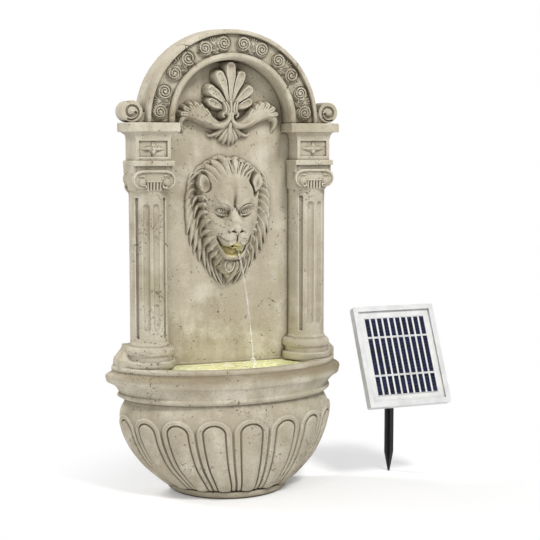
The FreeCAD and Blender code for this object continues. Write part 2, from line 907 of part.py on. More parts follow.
def make_riser_hose():
    z0, z1 = riser_span()
    return single(post(0, hose_p, hose_out_r, z0, z1).cut(post(0, hose_p, hose_in_r, z0 - 1, z1 + 1)))


def make_hose_clamps():
    z0, z1 = riser_span()
    rings = []
    for z in (z0 + 5, z1 - 10):
        rings.append(post(0, hose_p, hose_out_r + clamp_t, z, z + clamp_w).cut(
            post(0, hose_p, hose_out_r, z - 1, z + clamp_w + 1)))
    z = pump_z1 + 6
    rings.append(post(0, outlet_p, hose_out_r + clamp_t, z, z + clamp_w).cut(
        post(0, outlet_p, hose_out_r, z - 1, z + clamp_w + 1)))
    p = niche_p + seal_t + port_flange_t + 3
    rings.append(rod(0, port_z, hose_out_r + clamp_t, p, p + clamp_w).cut(
        rod(0, port_z, hose_out_r, p - 1, p + clamp_w + 1)))
    return Part.makeCompound([single(r) for r in rings])


def make_spout_elbow():
    z1 = riser_span()[1]
    shape = post(0, hose_p, elbow_body_r, z1, mouth_z + elbow_body_r)
    shape = shape.fuse([
        post(0, hose_p, hose_in_r, z1 - barb_len, z1),
        rod(0, mouth_z, elbow_body_r - elbow_step, hose_p, spout_root_p),
        rod(0, mouth_z, spout_bore_r, spout_root_p, niche_p),
    ])
    shape = shape.cut(rod(0, mouth_z, barb_bore_r, hose_p, niche_p + 1))
    shape = shape.cut(post(0, hose_p, barb_bore_r, z1 - barb_len - 1, mouth_z))
    return single(shape.removeSplitter())


def make_spout_pipe():
    return single(rod(0, mouth_z, spout_r, spout_root_p, spout_tip_p).cut(
        rod(0, mouth_z, spout_bore_r, spout_root_p - 1, spout_tip_p + 1)))


# Pump
def make_pump_housing():
    shape = box(-pump_half, pump_half, pump_p0, pump_p1, pump_z0, pump_z1)
    upright = [e for e in shape.Edges if abs(e.tangentAt(0).z) > 0.9]
    shape = shape.makeFillet(pump_round, upright)
    shape = shape.fuse(post(0, outlet_p, hose_in_r, pump_z1 - 1, outlet_z1))
    shape = shape.cut(rod(0, rotor_z, rotor_r + well_gap, rotor_p0 - well_gap, chamber_p0 + 1))
    shape = shape.cut(rod(0, rotor_z, chamber_r, chamber_p0, pump_p1 + 1))
    shape = shape.cut(post(0, outlet_p + 1, barb_bore_r - 0.6, rotor_z, outlet_z1 + 1))
    shape = shape.cut(rod(0, rotor_z, pin_r, pin_p0, chamber_p0))
    for x in (-pump_half + cup_inset, pump_half - cup_inset):
        for p in (pump_p0 + cup_inset, pump_p1 - cup_inset):
            shape = shape.cut(post(x, p, cup_neck_r, pump_z0 - 1, pump_z0 + 3))
    return single(shape.removeSplitter())


def make_impeller_cover():
    shape = rod(0, rotor_z, chamber_r - fit_gap, pump_p1 - cover_plate_t, pump_p1)
    shape = shape.cut(rod(0, rotor_z, inlet_r, pump_p1 - cover_plate_t - 1, pump_p1 + 1))
    bar = box(-inlet_r - 1, inlet_r + 1, pump_p1 - cover_plate_t, pump_p1, rotor_z - 1.5, rotor_z + 1.5)
    hub = rod(0, rotor_z, 2.4, pump_p1 - cover_plate_t, pump_p1)
    shape = shape.fuse([bar, hub])
    return single(shape.removeSplitter().cut(rod(0, rotor_z, pin_r, 0, far)))


def make_impeller():
    shape = rod(0, rotor_z, rotor_r, rotor_p0, rotor_p1)
    shape = shape.fuse(rod(0, rotor_z, vane_r - 1, rotor_p1 + 1.5, rotor_p1 + 3))
    shape = shape.fuse(rod(0, rotor_z, 3.0, rotor_p1 - 1, vane_p1))
    for i in range(vane_count):
        vane = box(2.0, vane_r, rotor_p1 + 2, vane_p1, rotor_z - vane_t / 2, rotor_z + vane_t / 2)
        vane.rotate(Vector(0, 0, rotor_z), Y_AXIS, 360 / vane_count * i)
        shape = shape.fuse(vane)
    return single(shape.removeSplitter().cut(rod(0, rotor_z, pin_r + run_gap, 0, far)))


def make_impeller_shaft():
    return rod(0, rotor_z, pin_r, pin_p0, pin_p1 - 1)


def strainer_outer():
    return box(-pump_half, pump_half, pump_p1, strainer_p1, pump_z0, pump_z1)


def make_strainer():
    w = strainer_wall
    shape = strainer_outer()
    shape = shape.cut(box(-pump_half + w, pump_half - w, pump_p1 - 1, strainer_p1 - w, pump_z0 + w, pump_z1 - w))
    for i in range(slot_count):
        x = (i - (slot_count - 1) / 2) * slot_pitch
        shape = shape.cut(box(x - slot_w / 2, x + slot_w / 2, strainer_p1 - w - 1, far,
                              slider_z1 + 4, pump_z1 - 6))
    for z in (slider_z0 - rail_h, slider_z1):
        shape = shape.fuse(box(-slider_half - slider_travel - 3, slider_half + slider_travel + 3, strainer_p1,
                               strainer_p1 + slider_t, z, z + rail_h))
    shape = shape.cut(box(-3, 3, strainer_p1 - w - 1, strainer_p1, slider_z0 + 0.6, slider_z1 - 0.6))
    return single(shape.removeSplitter())


def make_flow_slider():
    plate_body = box(-slider_half, slider_half, strainer_p1, strainer_p1 + slider_t - 0.4,
                     slider_z0 + 0.1, slider_z1 - 0.1)
    grip = box(-1, 1, strainer_p1, strainer_p1 + slider_t + 2, slider_z0 + 0.5, slider_z1 - 0.5)
    return single(plate_body.fuse(grip).removeSplitter())


def make_sponge():
    w = strainer_wall
    return box(-pump_half + w, pump_half - w, pump_p1 + sponge_gap, strainer_p1 - w, pump_z0 + w, pump_z1 - w)


def make_suction_cups():
    cups = []
    for x in (-pump_half + cup_inset, pump_half - cup_inset):
        for p in (pump_p0 + cup_inset, pump_p1 - cup_inset):
            cone = Part.makeCone(cup_r, cup_neck_r, pump_z0 - floor_z, Vector(x, wall_y - p, floor_z), Z_AXIS)
            hollow = Part.makeCone(cup_r - 1.5, 0.5, 3.0, Vector(x, wall_y - p, floor_z), Z_AXIS)
            cups.append(single(cone.fuse(post(x, p, cup_neck_r, pump_z0 - 1, pump_z0 + 3)).cut(hollow)))
    return Part.makeCompound(cups)


# Basin light
def make_light_body():
    outer = post(light_x, light_p, light_r, floor_z, floor_z + light_h)
    return single(outer.cut(post(light_x, light_p, light_r - light_wall, floor_z + light_wall, far)))


def make_light_board():
    z0 = floor_z + light_wall
    shape = post(light_x, light_p, light_r - light_wall - fit_gap, z0, z0 + light_board_t)
    top = z0 + light_board_t
    for i in range(led_count):
        t = 2 * math.pi * i / led_count
        x = light_x + led_ring_r * math.cos(t)
        p = light_p + led_ring_r * math.sin(t)
        shape = shape.fuse(box(x - led_half, x + led_half, p - led_half, p + led_half, top, top + led_t))
    return single(shape.removeSplitter())


def make_light_lens():
    z1 = floor_z + light_h
    return post(light_x, light_p, light_r - light_wall, z1 - light_lens_t, z1)


def ring_piece(p0, p1):
    return single(rod(0, mouth_z, ring_r, p0, p1).cut(rod(0, mouth_z, spout_r, p0 - 1, p1 + 1)))


def make_mouth_light():
    return ring_piece(ring_p0 - 2, ring_p1)


def make_mouth_lens():
    return ring_piece(ring_p1, ring_p1 + ring_lens_t)


def make_cable_gland():
    shape = rod(gland_x, gland_z, gland_r, hollow_p - 2, niche_p + 2)
    shape = shape.fuse(rod(gland_x, gland_z, gland_flange_r, niche_p, niche_p + 4))
    shape = shape.fuse(rod(gland_x, gland_z, gland_flange_r, hollow_p - 4, hollow_p))
    return single(shape.removeSplitter().cut(rod(gland_x, gland_z, gland_bore_r, 0, niche_p + 10)))


def make_cable_grommet():
    shape = rod(grommet_x, grommet_z, grommet_r, 0, cover_t + grommet_lip_t)
    shape = shape.fuse(rod(grommet_x, grommet_z, grommet_lip_r, cover_t, cover_t + grommet_lip_t))
    return single(shape.removeSplitter().cut(rod(grommet_x, grommet_z, gland_bore_r, -1, far)))


# Solar panel pieces, made upright and then leaned back and set in place
def slab(x0, x1, y0, y1, z0, z1):
    return Part.makeBox(x1 - x0, y1 - y0, z1 - z0, Vector(x0, y0, z0))


def pin_y(x, z, r, y0, y1):
    return Part.makeCylinder(r, y1 - y0, Vector(x, y0, z), Y_AXIS)


def pin_x(y, z, r, x0, x1):
    return Part.makeCylinder(r, x1 - x0, Vector(x0, y, z), X_AXIS)


def lean(shape):
    shape = shape.copy()
    shape.rotate(Vector(0, 0, 0), X_AXIS, -panel_tilt)
    shape.translate(Vector(panel_x, wall_y - panel_p, panel_z))
    return shape


glass_y = panel_lip_t
cell_y = glass_y + glass_t
backing_y = cell_y + cell_t
panel_in_w = panel_w - 2 * panel_wall
panel_in_h = panel_h - 2 * panel_wall
box_y = panel_depth
lid_y = box_y + box_depth + box_seal_t
lid_back_y = lid_y + box_lid_t


def make_panel_frame():
    shape = slab(-panel_w / 2, panel_w / 2, 0, panel_depth, -panel_h / 2, panel_h / 2)
    corners = [e for e in shape.Edges if abs(e.tangentAt(0).y) > 0.9]
    shape = shape.makeFillet(panel_edge_round, corners)
    shape = shape.cut(slab(-panel_in_w / 2, panel_in_w / 2, panel_lip_t, panel_depth + 1,
                           -panel_in_h / 2, panel_in_h / 2))
    w = panel_w / 2 - panel_lip
    h = panel_h / 2 - panel_lip
    return single(shape.cut(slab(-w, w, -1, panel_lip_t + 1, -h, h)))


def inner_sheet(y0, t):
    w = panel_in_w / 2 - fit_gap
    h = panel_in_h / 2 - fit_gap
    return slab(-w, w, y0, y0 + t, -h, h)


def row_edges():
    total = sum(cell_rows) + cell_row_gap * (len(cell_rows) - 1)
    edges = []
    top = total / 2
    for height in cell_rows:
        edges.append((top - height, top))
        top -= height + cell_row_gap
    return edges


def make_solar_cells():
    cells = []
    for low, high in row_edges():
        for i in range(cell_cols):
            x = (i - (cell_cols - 1) / 2) * cell_pitch
            cells.append(slab(x - cell_w / 2, x + cell_w / 2, cell_y, backing_y, low, high))
    return Part.makeCompound(cells)


def make_cell_ribbons():
    rows = row_edges()
    half = cell_cols * cell_pitch / 2
    strips = []
    for z in (rows[0][1] + ribbon_h, rows[-1][0] - ribbon_h):
        strips.append(slab(-half, half, cell_y, backing_y, z - ribbon_h / 2, z + ribbon_h / 2))
    for upper, lower in zip(rows, rows[1:]):
        z = (upper[0] + lower[1]) / 2
        strips.append(slab(-half, half, cell_y, backing_y, z - ribbon_h / 2, z + ribbon_h / 2))
    return Part.makeCompound(strips)


def make_panel_back():
    y0 = panel_depth - panel_back_t
    w = panel_in_w / 2 - fit_gap
    h = panel_in_h / 2 - fit_gap
    rim = panel_wall
    shape = slab(-w, w, y0, panel_depth, -h, h)
    y_rib = backing_y + backing_t
    frame = slab(-w, w, y_rib, y0, -h, h).cut(slab(-w + rim, w - rim, y_rib - 1, y0 + 1, -h + rim, h - rim))
    return single(shape.fuse(frame).removeSplitter())


def box_corner_points():
    w = box_w / 2 - box_screw_inset
    h = box_h / 2 - box_screw_inset
    return [(sx * w, box_z + sz * h) for sx in (-1, 1) for sz in (-1, 1)]


def box_slab(y0, y1, inset):
    return slab(-box_w / 2 + inset, box_w / 2 - inset, y0, y1, box_z - box_h / 2 + inset, box_z + box_h / 2 - inset)


def make_box_body():
    shape = box_slab(box_y, box_y + box_depth, 0)
    shape = shape.cut(box_slab(box_y + box_wall, far, box_wall))
    for x, z in box_corner_points():
        shape = shape.fuse(pin_y(x, z, box_post_r, box_y, box_y + box_depth))
        shape = shape.cut(pin_y(x, z, box_screw_r + fit_gap, box_y + 6, far))
    bottom = box_z - box_h / 2
    for x in (-socket_x, socket_x):
        shape = shape.cut(Part.makeCylinder(socket_r + fit_gap, box_wall + 2,
                                            Vector(x, box_y + box_depth / 2, bottom - 1), Z_AXIS))
    return single(shape.removeSplitter())


def make_box_seal():
    y0 = box_y + box_depth
    shape = box_slab(y0, y0 + box_seal_t, 0).cut(box_slab(y0 - 1, y0 + 5, box_wall))
    posts = [pin_y(x, z, box_post_r + fit_gap, y0 - 1, y0 + 5) for x, z in box_corner_points()]
    return single(shape.cut(posts))


def make_box_lid():
    shape = box_slab(lid_y, lid_back_y, 0)
    for x, z in box_corner_points():
        shape = shape.fuse(pin_y(x, z, box_post_r, lid_y - box_seal_t, lid_y))
        shape = shape.cut(pin_y(x, z, box_screw_r + fit_gap, 0, far))
    for side in (-1, 1):
        shape = shape.cut(pin_y(side * bracket_screw_x, 0, screw_r + fit_gap, 0, far))
    shape = shape.cut(pin_y(button_x, button_z, button_r + 0.3, lid_y - 5, far))
    guide = pin_y(button_x, button_z, button_r + 2, lid_y - 6, lid_y)
    guide = guide.cut(pin_y(button_x, button_z, button_r + 0.3, lid_y - 4.5, far))
    guide = guide.cut(pin_y(button_x, button_z, button_stem_r + 0.2, 0, far))
    return single(shape.fuse(guide).removeSplitter())


def make_box_screws():
    screws = []
    for x, z in box_corner_points():
        shank = pin_y(x, z, box_screw_r, box_y + 8, lid_back_y)
        head = pin_y(x, z, screw_head_r, lid_back_y, lid_back_y + screw_head_t)
        slot = slab(x - screw_head_r, x + screw_head_r, lid_back_y + screw_head_t / 2, far,
                    z - screw_slot_w / 2, z + screw_slot_w / 2)
        screws.append(single(shank.fuse(head).removeSplitter().cut(slot)))
    return Part.makeCompound(screws)


def make_battery_pack():
    y = box_y + box_wall + battery_r
    cells = []
    for i in range(battery_count):
        z = battery_top - battery_r - i * (2 * battery_r + battery_gap)
        cells.append(pin_x(y, z, battery_r, -battery_len / 2, battery_len / 2))
    return Part.makeCompound(cells)


def make_control_board():
    y0 = box_y + box_wall
    z0 = button_z
    shape = slab(-board_w / 2, board_w / 2, y0, y0 + board_t, z0, z0 + board_h)
    shape = shape.fuse(slab(-14, -6, y0 + board_t, y0 + board_t + 2.5, z0 + 6, z0 + 14))
    shape = shape.fuse(slab(button_x - 3, button_x + 1, y0, y0 + board_t, z0, z0 + 3))
    return single(shape.removeSplitter())


def make_power_button():
    """Round cap in the lid with a stem that runs through the guide's floor."""
    front = lid_y - 4.5 + button_travel + 0.2
    shape = pin_y(button_x, button_z, button_r, front, lid_back_y + button_cap_t)
    shape = shape.fuse(pin_y(button_x, button_z, button_stem_r, lid_y - 9, front))
    return single(shape.removeSplitter())


def make_cable_sockets():
    bottom = box_z - box_h / 2
    y = box_y + box_depth / 2
    sockets = []
    for x in (-socket_x, socket_x):
        base = Vector(x, y, bottom - socket_len)
        shape = Part.makeCylinder(socket_r, socket_len + box_wall, base, Z_AXIS)
        lip = Part.makeCylinder(socket_r + 2, 3, Vector(x, y, bottom - 3), Z_AXIS)
        bore = Part.makeCylinder(socket_bore_r, socket_len, base, Z_AXIS)
        sockets.append(single(shape.fuse(lip).removeSplitter().cut(bore)))
    return Part.makeCompound(sockets)


# Tilt joint: two bracket ears straddle the ear of the tilt head
def make_bracket():
    y0 = lid_back_y
    x_in = head_ear_t / 2 + ear_gap
    x_out = x_in + ear_t
    shape = slab(-bracket_plate_w / 2, bracket_plate_w / 2, y0, y0 + bracket_plate_t,
                 -bracket_plate_h / 2, bracket_plate_h / 2)
    for side in (-1, 1):
        x0, x1 = sorted((side * x_in, side * x_out))
        web = slab(x0, x1, y0, pivot_depth, -ear_round_r, ear_round_r)
        shape = shape.fuse(web.fuse(pin_x(pivot_depth, 0, ear_round_r, x0, x1)))
    shape = shape.cut(pin_x(pivot_depth, 0, bolt_r + run_gap, -far, far))
    for side in (-1, 1):
        shape = shape.cut(pin_y(side * bracket_screw_x, 0, screw_r + fit_gap, 0, far))
    return single(shape.removeSplitter())


def make_bracket_screws():
    screws = []
    for side in (-1, 1):
        x = side * bracket_screw_x
        face = lid_back_y + bracket_plate_t
        shank = pin_y(x, 0, screw_r, lid_y, face)
        head = pin_y(x, 0, screw_head_r - 0.5, face, face + screw_head_t)
        screws.append(single(shank.fuse(head).removeSplitter()))
    return Part.makeCompound(screws)


def make_tilt_bolt():
    x0 = -(head_ear_t / 2 + ear_gap + ear_t)
    r = bolt_head_r
    points = [Vector(x0, pivot_depth + r * math.cos(math.radians(60 * i)), r * math.sin(math.radians(60 * i)))
              for i in range(7)]
    head = Part.Face(Part.makePolygon(points)).extrude(Vector(-bolt_head_t, 0, 0))
    shank = pin_x(pivot_depth, 0, bolt_r, x0 - 0.5, x0 + bolt_len)
    return single(head.fuse(shank).removeSplitter())


def make_wing_nut():
    x0 = head_ear_t / 2 + ear_gap + ear_t + 0.05
    shape = pin_x(pivot_depth, 0, nut_hub_r, x0, x0 + nut_hub_len)
    wings = slab(x0 + wing_in, x0 + wing_h, pivot_depth - wing_t / 2, pivot_depth + wing_t / 2, -wing_span, wing_span)
    tips = [e for e in wings.Edges if abs(e.tangentAt(0).y) > 0.9]
    wings = wings.makeFillet(2.5, tips)
    notch = pin_x(pivot_depth, 0, nut_hub_r - 1, x0 + nut_hub_len, x0 + wing_h + 1)
    shape = shape.fuse(wings).cut(notch)
    return single(shape.removeSplitter().cut(pin_x(pivot_depth, 0, bolt_r + run_gap, 0, far)))


def pivot_point():
    t = math.radians(panel_tilt)
    y = wall_y - panel_p + pivot_depth * math.cos(t)
    z = panel_z - pivot_depth * math.sin(t)
    return Vector(panel_x, y, z)


def head_bottom_z():
    return pivot_point().z - head_drop0 - head_len


def make_tilt_head():
    pivot = pivot_point()
    z1 = pivot.z - head_drop0
    z0 = z1 - head_len
    shape = Part.makeCylinder(head_r, head_len, Vector(pivot.x, pivot.y, z0), Z_AXIS)
    ear = Part.makeBox(head_ear_t, 2 * ear_round_r, pivot.z - z1 + 1,
                       Vector(pivot.x - head_ear_t / 2, pivot.y - ear_round_r, z1 - 1))
    eye = Part.makeCylinder(ear_round_r, head_ear_t, Vector(pivot.x - head_ear_t / 2, pivot.y, pivot.z), X_AXIS)
    shape = shape.fuse([ear, eye])
    bore = Part.makeCylinder(tube_r + run_gap, head_len - head_cap, Vector(pivot.x, pivot.y, z0), Z_AXIS)
    hole = Part.makeCylinder(bolt_r + run_gap, 4 * head_ear_t,
                             Vector(pivot.x - 2 * head_ear_t, pivot.y, pivot.z), X_AXIS)
    return single(shape.removeSplitter().cut([bore, hole]))


def make_stake_tube():
    pivot = pivot_point()
    z1 = head_bottom_z() + head_len - head_cap
    outer = Part.makeCylinder(tube_r, z1 - tube_z0, Vector(pivot.x, pivot.y, tube_z0), Z_AXIS)
    bore = Part.makeCylinder(tube_bore_r, z1 - tube_z0 + 2, Vector(pivot.x, pivot.y, tube_z0 - 1), Z_AXIS)
    return single(outer.cut(bore))


def make_ground_spike():
    pivot = pivot_point()
    blades = []
    for along_x in (True, False):
        t = spike_rib_t / 2
        points = [(-spike_half, tube_z0), (-spike_half, spike_taper_z), (-t, 1.5), (0, 0), (t, 1.5),
                  (spike_half, spike_taper_z), (spike_half, tube_z0)]
        if along_x:
            ring = [Vector(pivot.x + u, pivot.y - t, z) for u, z in points]
            blade = Part.Face(Part.makePolygon(ring + ring[:1])).extrude(Vector(0, 2 * t, 0))
        else:
            ring = [Vector(pivot.x - t, pivot.y + u, z) for u, z in points]
            blade = Part.Face(Part.makePolygon(ring + ring[:1])).extrude(Vector(2 * t, 0, 0))
        blades.append(blade)
    collar = Part.makeCylinder(spike_half, spike_collar_t, Vector(pivot.x, pivot.y, tube_z0 - spike_collar_t), Z_AXIS)
    plug = Part.makeCylinder(tube_bore_r, plug_len, Vector(pivot.x, pivot.y, tube_z0 - 1), Z_AXIS)
    return join(blades + [collar, plug])


def save(name, shape):
    shape.exportStep("parts/" + name + ".step")


os.makedirs("parts", exist_ok=True)
right_column = make_column()
pieces = {
    "basin": make_basin(),
    "wall_panel": make_wall_panel(),
    "right_column": right_column,
    "left_column": mirrored(right_column),
    "lion_mask": make_lion_mask(),
    "palmette_crest": make_crest(),
    "rear_cover": make_rear_cover(),
    "rear_cover_screws": make_cover_screws(),
    "hanger_plates": make_hanger_plates(),
    "hanger_screws": make_hanger_screws(),
    "wall_elbow": make_wall_elbow(),
    "wall_elbow_seal": make_port_seal(),
    "wall_elbow_nut": make_port_nut(),
    "pump_hose": make_pump_hose(),
    "riser_hose": make_riser_hose(),
    "hose_clamps": make_hose_clamps(),
    "spout_elbow": make_spout_elbow(),
    "spout_pipe": make_spout_pipe(),
    "pump_housing": make_pump_housing(),
    "impeller_cover": make_impeller_cover(),
    "impeller": make_impeller(),
    "impeller_shaft": make_impeller_shaft(),
    "pump_strainer": make_strainer(),
    "flow_slider": make_flow_slider(),
    "pump_sponge": make_sponge(),
    "suction_cups": make_suction_cups(),
    "basin_light_body": make_light_body(),
    "basin_light_board": make_light_board(),
    "basin_light_lens": make_light_lens(),
    "mouth_light_ring": make_mouth_light(),
    "mouth_light_lens": make_mouth_lens(),
    "cable_gland": make_cable_gland(),
    "cable_grommet": make_cable_grommet(),
    "panel_frame": lean(make_panel_frame()),
    "panel_glass": lean(inner_sheet(glass_y, glass_t)),
    "solar_cells": lean(make_solar_cells()),
    "cell_ribbons": lean(make_cell_ribbons()),
    "panel_backing": lean(inner_sheet(backing_y, backing_t)),
    "panel_back": lean(make_panel_back()),
    "control_box_body": lean(make_box_body()),
    "control_box_seal": lean(make_box_seal()),
    "control_box_lid": lean(make_box_lid()),
    "control_box_screws": lean(make_box_screws()),
    "battery_pack": lean(make_battery_pack()),
    "control_board": lean(make_control_board()),
    "power_button": lean(make_power_button()),
    "cable_sockets": lean(make_cable_sockets()),
    "panel_bracket": lean(make_bracket()),
    "bracket_screws": lean(make_bracket_screws()),
    "tilt_bolt": lean(make_tilt_bolt()),
    "wing_nut": lean(make_wing_nut()),
    "tilt_head": make_tilt_head(),
    "stake_tube": make_stake_tube(),
    "ground_spike": make_ground_spike(),
}
for name, shape in pieces.items():
    save(name, shape)
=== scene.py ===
# Garden wall fountain: the looks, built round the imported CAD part.
# Shapes are worked out in millimetres as (x, p, z), with p the distance in front of the wall plane.
import bpy
import functools
import json
import math
import numpy as np
import openvdb
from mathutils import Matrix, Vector

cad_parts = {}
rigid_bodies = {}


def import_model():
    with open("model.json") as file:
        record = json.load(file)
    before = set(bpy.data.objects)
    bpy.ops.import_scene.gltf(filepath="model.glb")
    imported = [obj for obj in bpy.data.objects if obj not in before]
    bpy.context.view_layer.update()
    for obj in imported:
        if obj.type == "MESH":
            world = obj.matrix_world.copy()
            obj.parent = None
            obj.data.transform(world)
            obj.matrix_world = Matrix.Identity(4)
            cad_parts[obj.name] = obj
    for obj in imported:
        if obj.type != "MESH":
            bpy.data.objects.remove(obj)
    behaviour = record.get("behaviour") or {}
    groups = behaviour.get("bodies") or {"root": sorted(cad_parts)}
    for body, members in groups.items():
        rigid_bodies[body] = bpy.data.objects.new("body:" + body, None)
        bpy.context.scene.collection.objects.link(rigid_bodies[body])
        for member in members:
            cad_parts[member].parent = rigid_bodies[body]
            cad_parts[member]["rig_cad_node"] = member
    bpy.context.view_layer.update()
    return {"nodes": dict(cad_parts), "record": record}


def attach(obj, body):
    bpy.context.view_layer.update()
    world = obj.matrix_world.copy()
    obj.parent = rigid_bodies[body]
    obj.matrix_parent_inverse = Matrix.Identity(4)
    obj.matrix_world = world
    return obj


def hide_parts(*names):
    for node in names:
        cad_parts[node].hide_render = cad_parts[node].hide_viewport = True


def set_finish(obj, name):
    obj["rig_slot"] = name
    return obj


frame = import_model()

# Wall plane in the frame, and the back of the castings before it
WALL = 18.0
BACK_P = 3.3
# Front of the niche's wall, and how far it reaches under the columns
NICHE_P = 26.0
NICHE_X = 112.0
# Heights of the arch's middle, the basin's deck and the water
ARCH_Z = 630.0
DECK_Z = 222.0
WATER_Z = 216.5
# Axis of the right column
COL_X = 142.0
COL_P = 36.0
# Ground from which the raised work on the niche stands out
GROUND_P = 24.4
STONE = "cast_stone"
dice = np.random.RandomState(11)


# Meshes
def to_metres(points):
    out = np.array(points, dtype=np.float64).reshape(-1, 3)
    out[:, 1] = WALL - out[:, 1]
    return out / 1000.0


def signed_volume(v, f):
    a, b, c, d = (v[f[:, i]] for i in range(4))
    return float(np.sum(np.cross(a, b) * c) + np.sum(np.cross(a, c) * d)) / 6


def place_piece(name, mesh, slot, nodes):
    obj = bpy.data.objects.new(name, mesh)
    bpy.context.scene.collection.objects.link(obj)
    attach(obj, "fountain")
    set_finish(obj, slot)
    if nodes:
        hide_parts(*nodes)
    return obj


def make_piece(name, points, quads, slot, nodes=(), outward=None):
    """Piece from (x, p, z) points in mm and four-sided faces, which look outwards if they close a body."""
    v = to_metres(points)
    f = np.array(quads, dtype=np.int32).reshape(-1, 4)
    flip = signed_volume(v, f) < 0 if outward is None else not outward
    if flip:
        f = f[:, ::-1]
    mesh = bpy.data.meshes.new(name)
    mesh.vertices.add(len(v))
    mesh.vertices.foreach_set("co", v.astype(np.float32).ravel())
    mesh.loops.add(len(f) * 4)
    mesh.loops.foreach_set("vertex_index", np.ascontiguousarray(f).ravel())
    mesh.polygons.add(len(f))
    mesh.polygons.foreach_set("loop_start", np.arange(0, len(f) * 4, 4, dtype=np.int32))
    mesh.polygons.foreach_set("use_smooth", np.ones(len(f), dtype=bool))
    mesh.update(calc_edges=True)
    mesh.validate()
    return place_piece(name, mesh, slot, nodes)


def grid_faces(rows, cols, close_rows=False, close_cols=False):
    r = np.arange(rows if close_rows else rows - 1)
    c = np.arange(cols if close_cols else cols - 1)
    r, c = np.meshgrid(r, c, indexing="ij")
    r1 = (r + 1) % rows
    c1 = (c + 1) % cols
    return np.stack([r * cols + c, r * cols + c1, r1 * cols + c1, r1 * cols + c], axis=-1).reshape(-1, 4)


def mirror_copy(obj, name, nodes):
    """Mirror image of a piece of stone, for the left side."""
    mesh = obj.data.copy()
    mesh.name = name
    co = np.zeros(len(mesh.vertices) * 3, np.float32)
    mesh.vertices.foreach_get("co", co)
    co = co.reshape(-1, 3)
    co[:, 0] *= -1
    mesh.vertices.foreach_set("co", co.ravel())
    mesh.flip_normals()
    mesh.update()
    place_piece(name, mesh, STONE, nodes)


def make_sheet(name, grid, slot=STONE, nodes=(), outward=None, **closed):
    """Piece from a grid of points."""
    faces = grid_faces(*grid.shape[:2], **closed)
    return make_piece(name, grid.reshape(-1, 3), faces, slot, nodes, outward=outward)


# Small maths
def smin(a, b, k):
    if k <= 0:
        return np.minimum(a, b)
    h = np.clip(0.5 + 0.5 * (b - a) / k, 0, 1)
    return b + (a - b) * h - k * h * (1 - h)


def smax(a, b, k):
    return -smin(-a, -b, k)


def step_up(x, a, b):
    t = np.clip((x - a) / (b - a), 0, 1)
    return t * t * (3 - 2 * t)


def bump(x, mid, width):
    return np.exp(-((x - mid) / width) ** 2)


def spline(points, count):
    """Smooth line through the points."""
    p = np.array(points, float)
    n = len(p)
    if n == 2:
        t = np.linspace(0, 1, count)[:, None]
        return p[0] * (1 - t) + p[1] * t
    ext = np.vstack([2 * p[0] - p[1], p, 2 * p[-1] - p[-2]])
    out = []
    for s in np.linspace(0, n - 1 - 1e-9, count):
        i = int(s)
        t = s - i
        a, b, c, d = ext[i], ext[i + 1], ext[i + 2], ext[i + 3]
        out.append(0.5 * (2 * b + (c - a) * t + (2 * a - 5 * b + 4 * c - d) * t * t
                          + (3 * b - a - 3 * c + d) * t ** 3))
    return np.array(out)


def soften(values, reach):
    """Moving average along the first axis that keeps both ends."""
    v = np.array(values, float)
    w = np.hanning(2 * reach + 3)[1:-1]
    w /= w.sum()
    pad = np.concatenate([2 * v[:1] - v[reach:0:-1], v, 2 * v[-1:] - v[-2:-reach - 2:-1]])
    cols = [np.convolve(pad[:, i], w, mode="valid") for i in range(v.shape[1])]
    return np.stack(cols, axis=1)


def resample(points, step):
    p = np.array(points, float)
    seg = np.linalg.norm(np.diff(p, axis=0), axis=1)
    s = np.concatenate([[0], np.cumsum(seg)])
    n = max(2, int(round(s[-1] / step)) + 1)
    t = np.linspace(0, s[-1], n)
    return np.stack([np.interp(t, s, p[:, i]) for i in range(p.shape[1])], axis=1)


def surface_normals(grid):
    du = np.gradient(grid, axis=1)
    dv = np.gradient(grid, axis=0)
    n = np.cross(du, dv)
    return n / np.maximum(np.linalg.norm(n, axis=-1, keepdims=True), 1e-9)


def along_segment(u, v, a, b):
    """Part of the way from a to b that is nearest to each place, and the offset from there."""
    ab = b - a
    t = np.clip(((u - a[0]) * ab[0] + (v - a[1]) * ab[1]) / max(float(ab @ ab), 1e-9), 0, 1)
    return t, u - a[0] - t * ab[0], v - a[1] - t * ab[1]


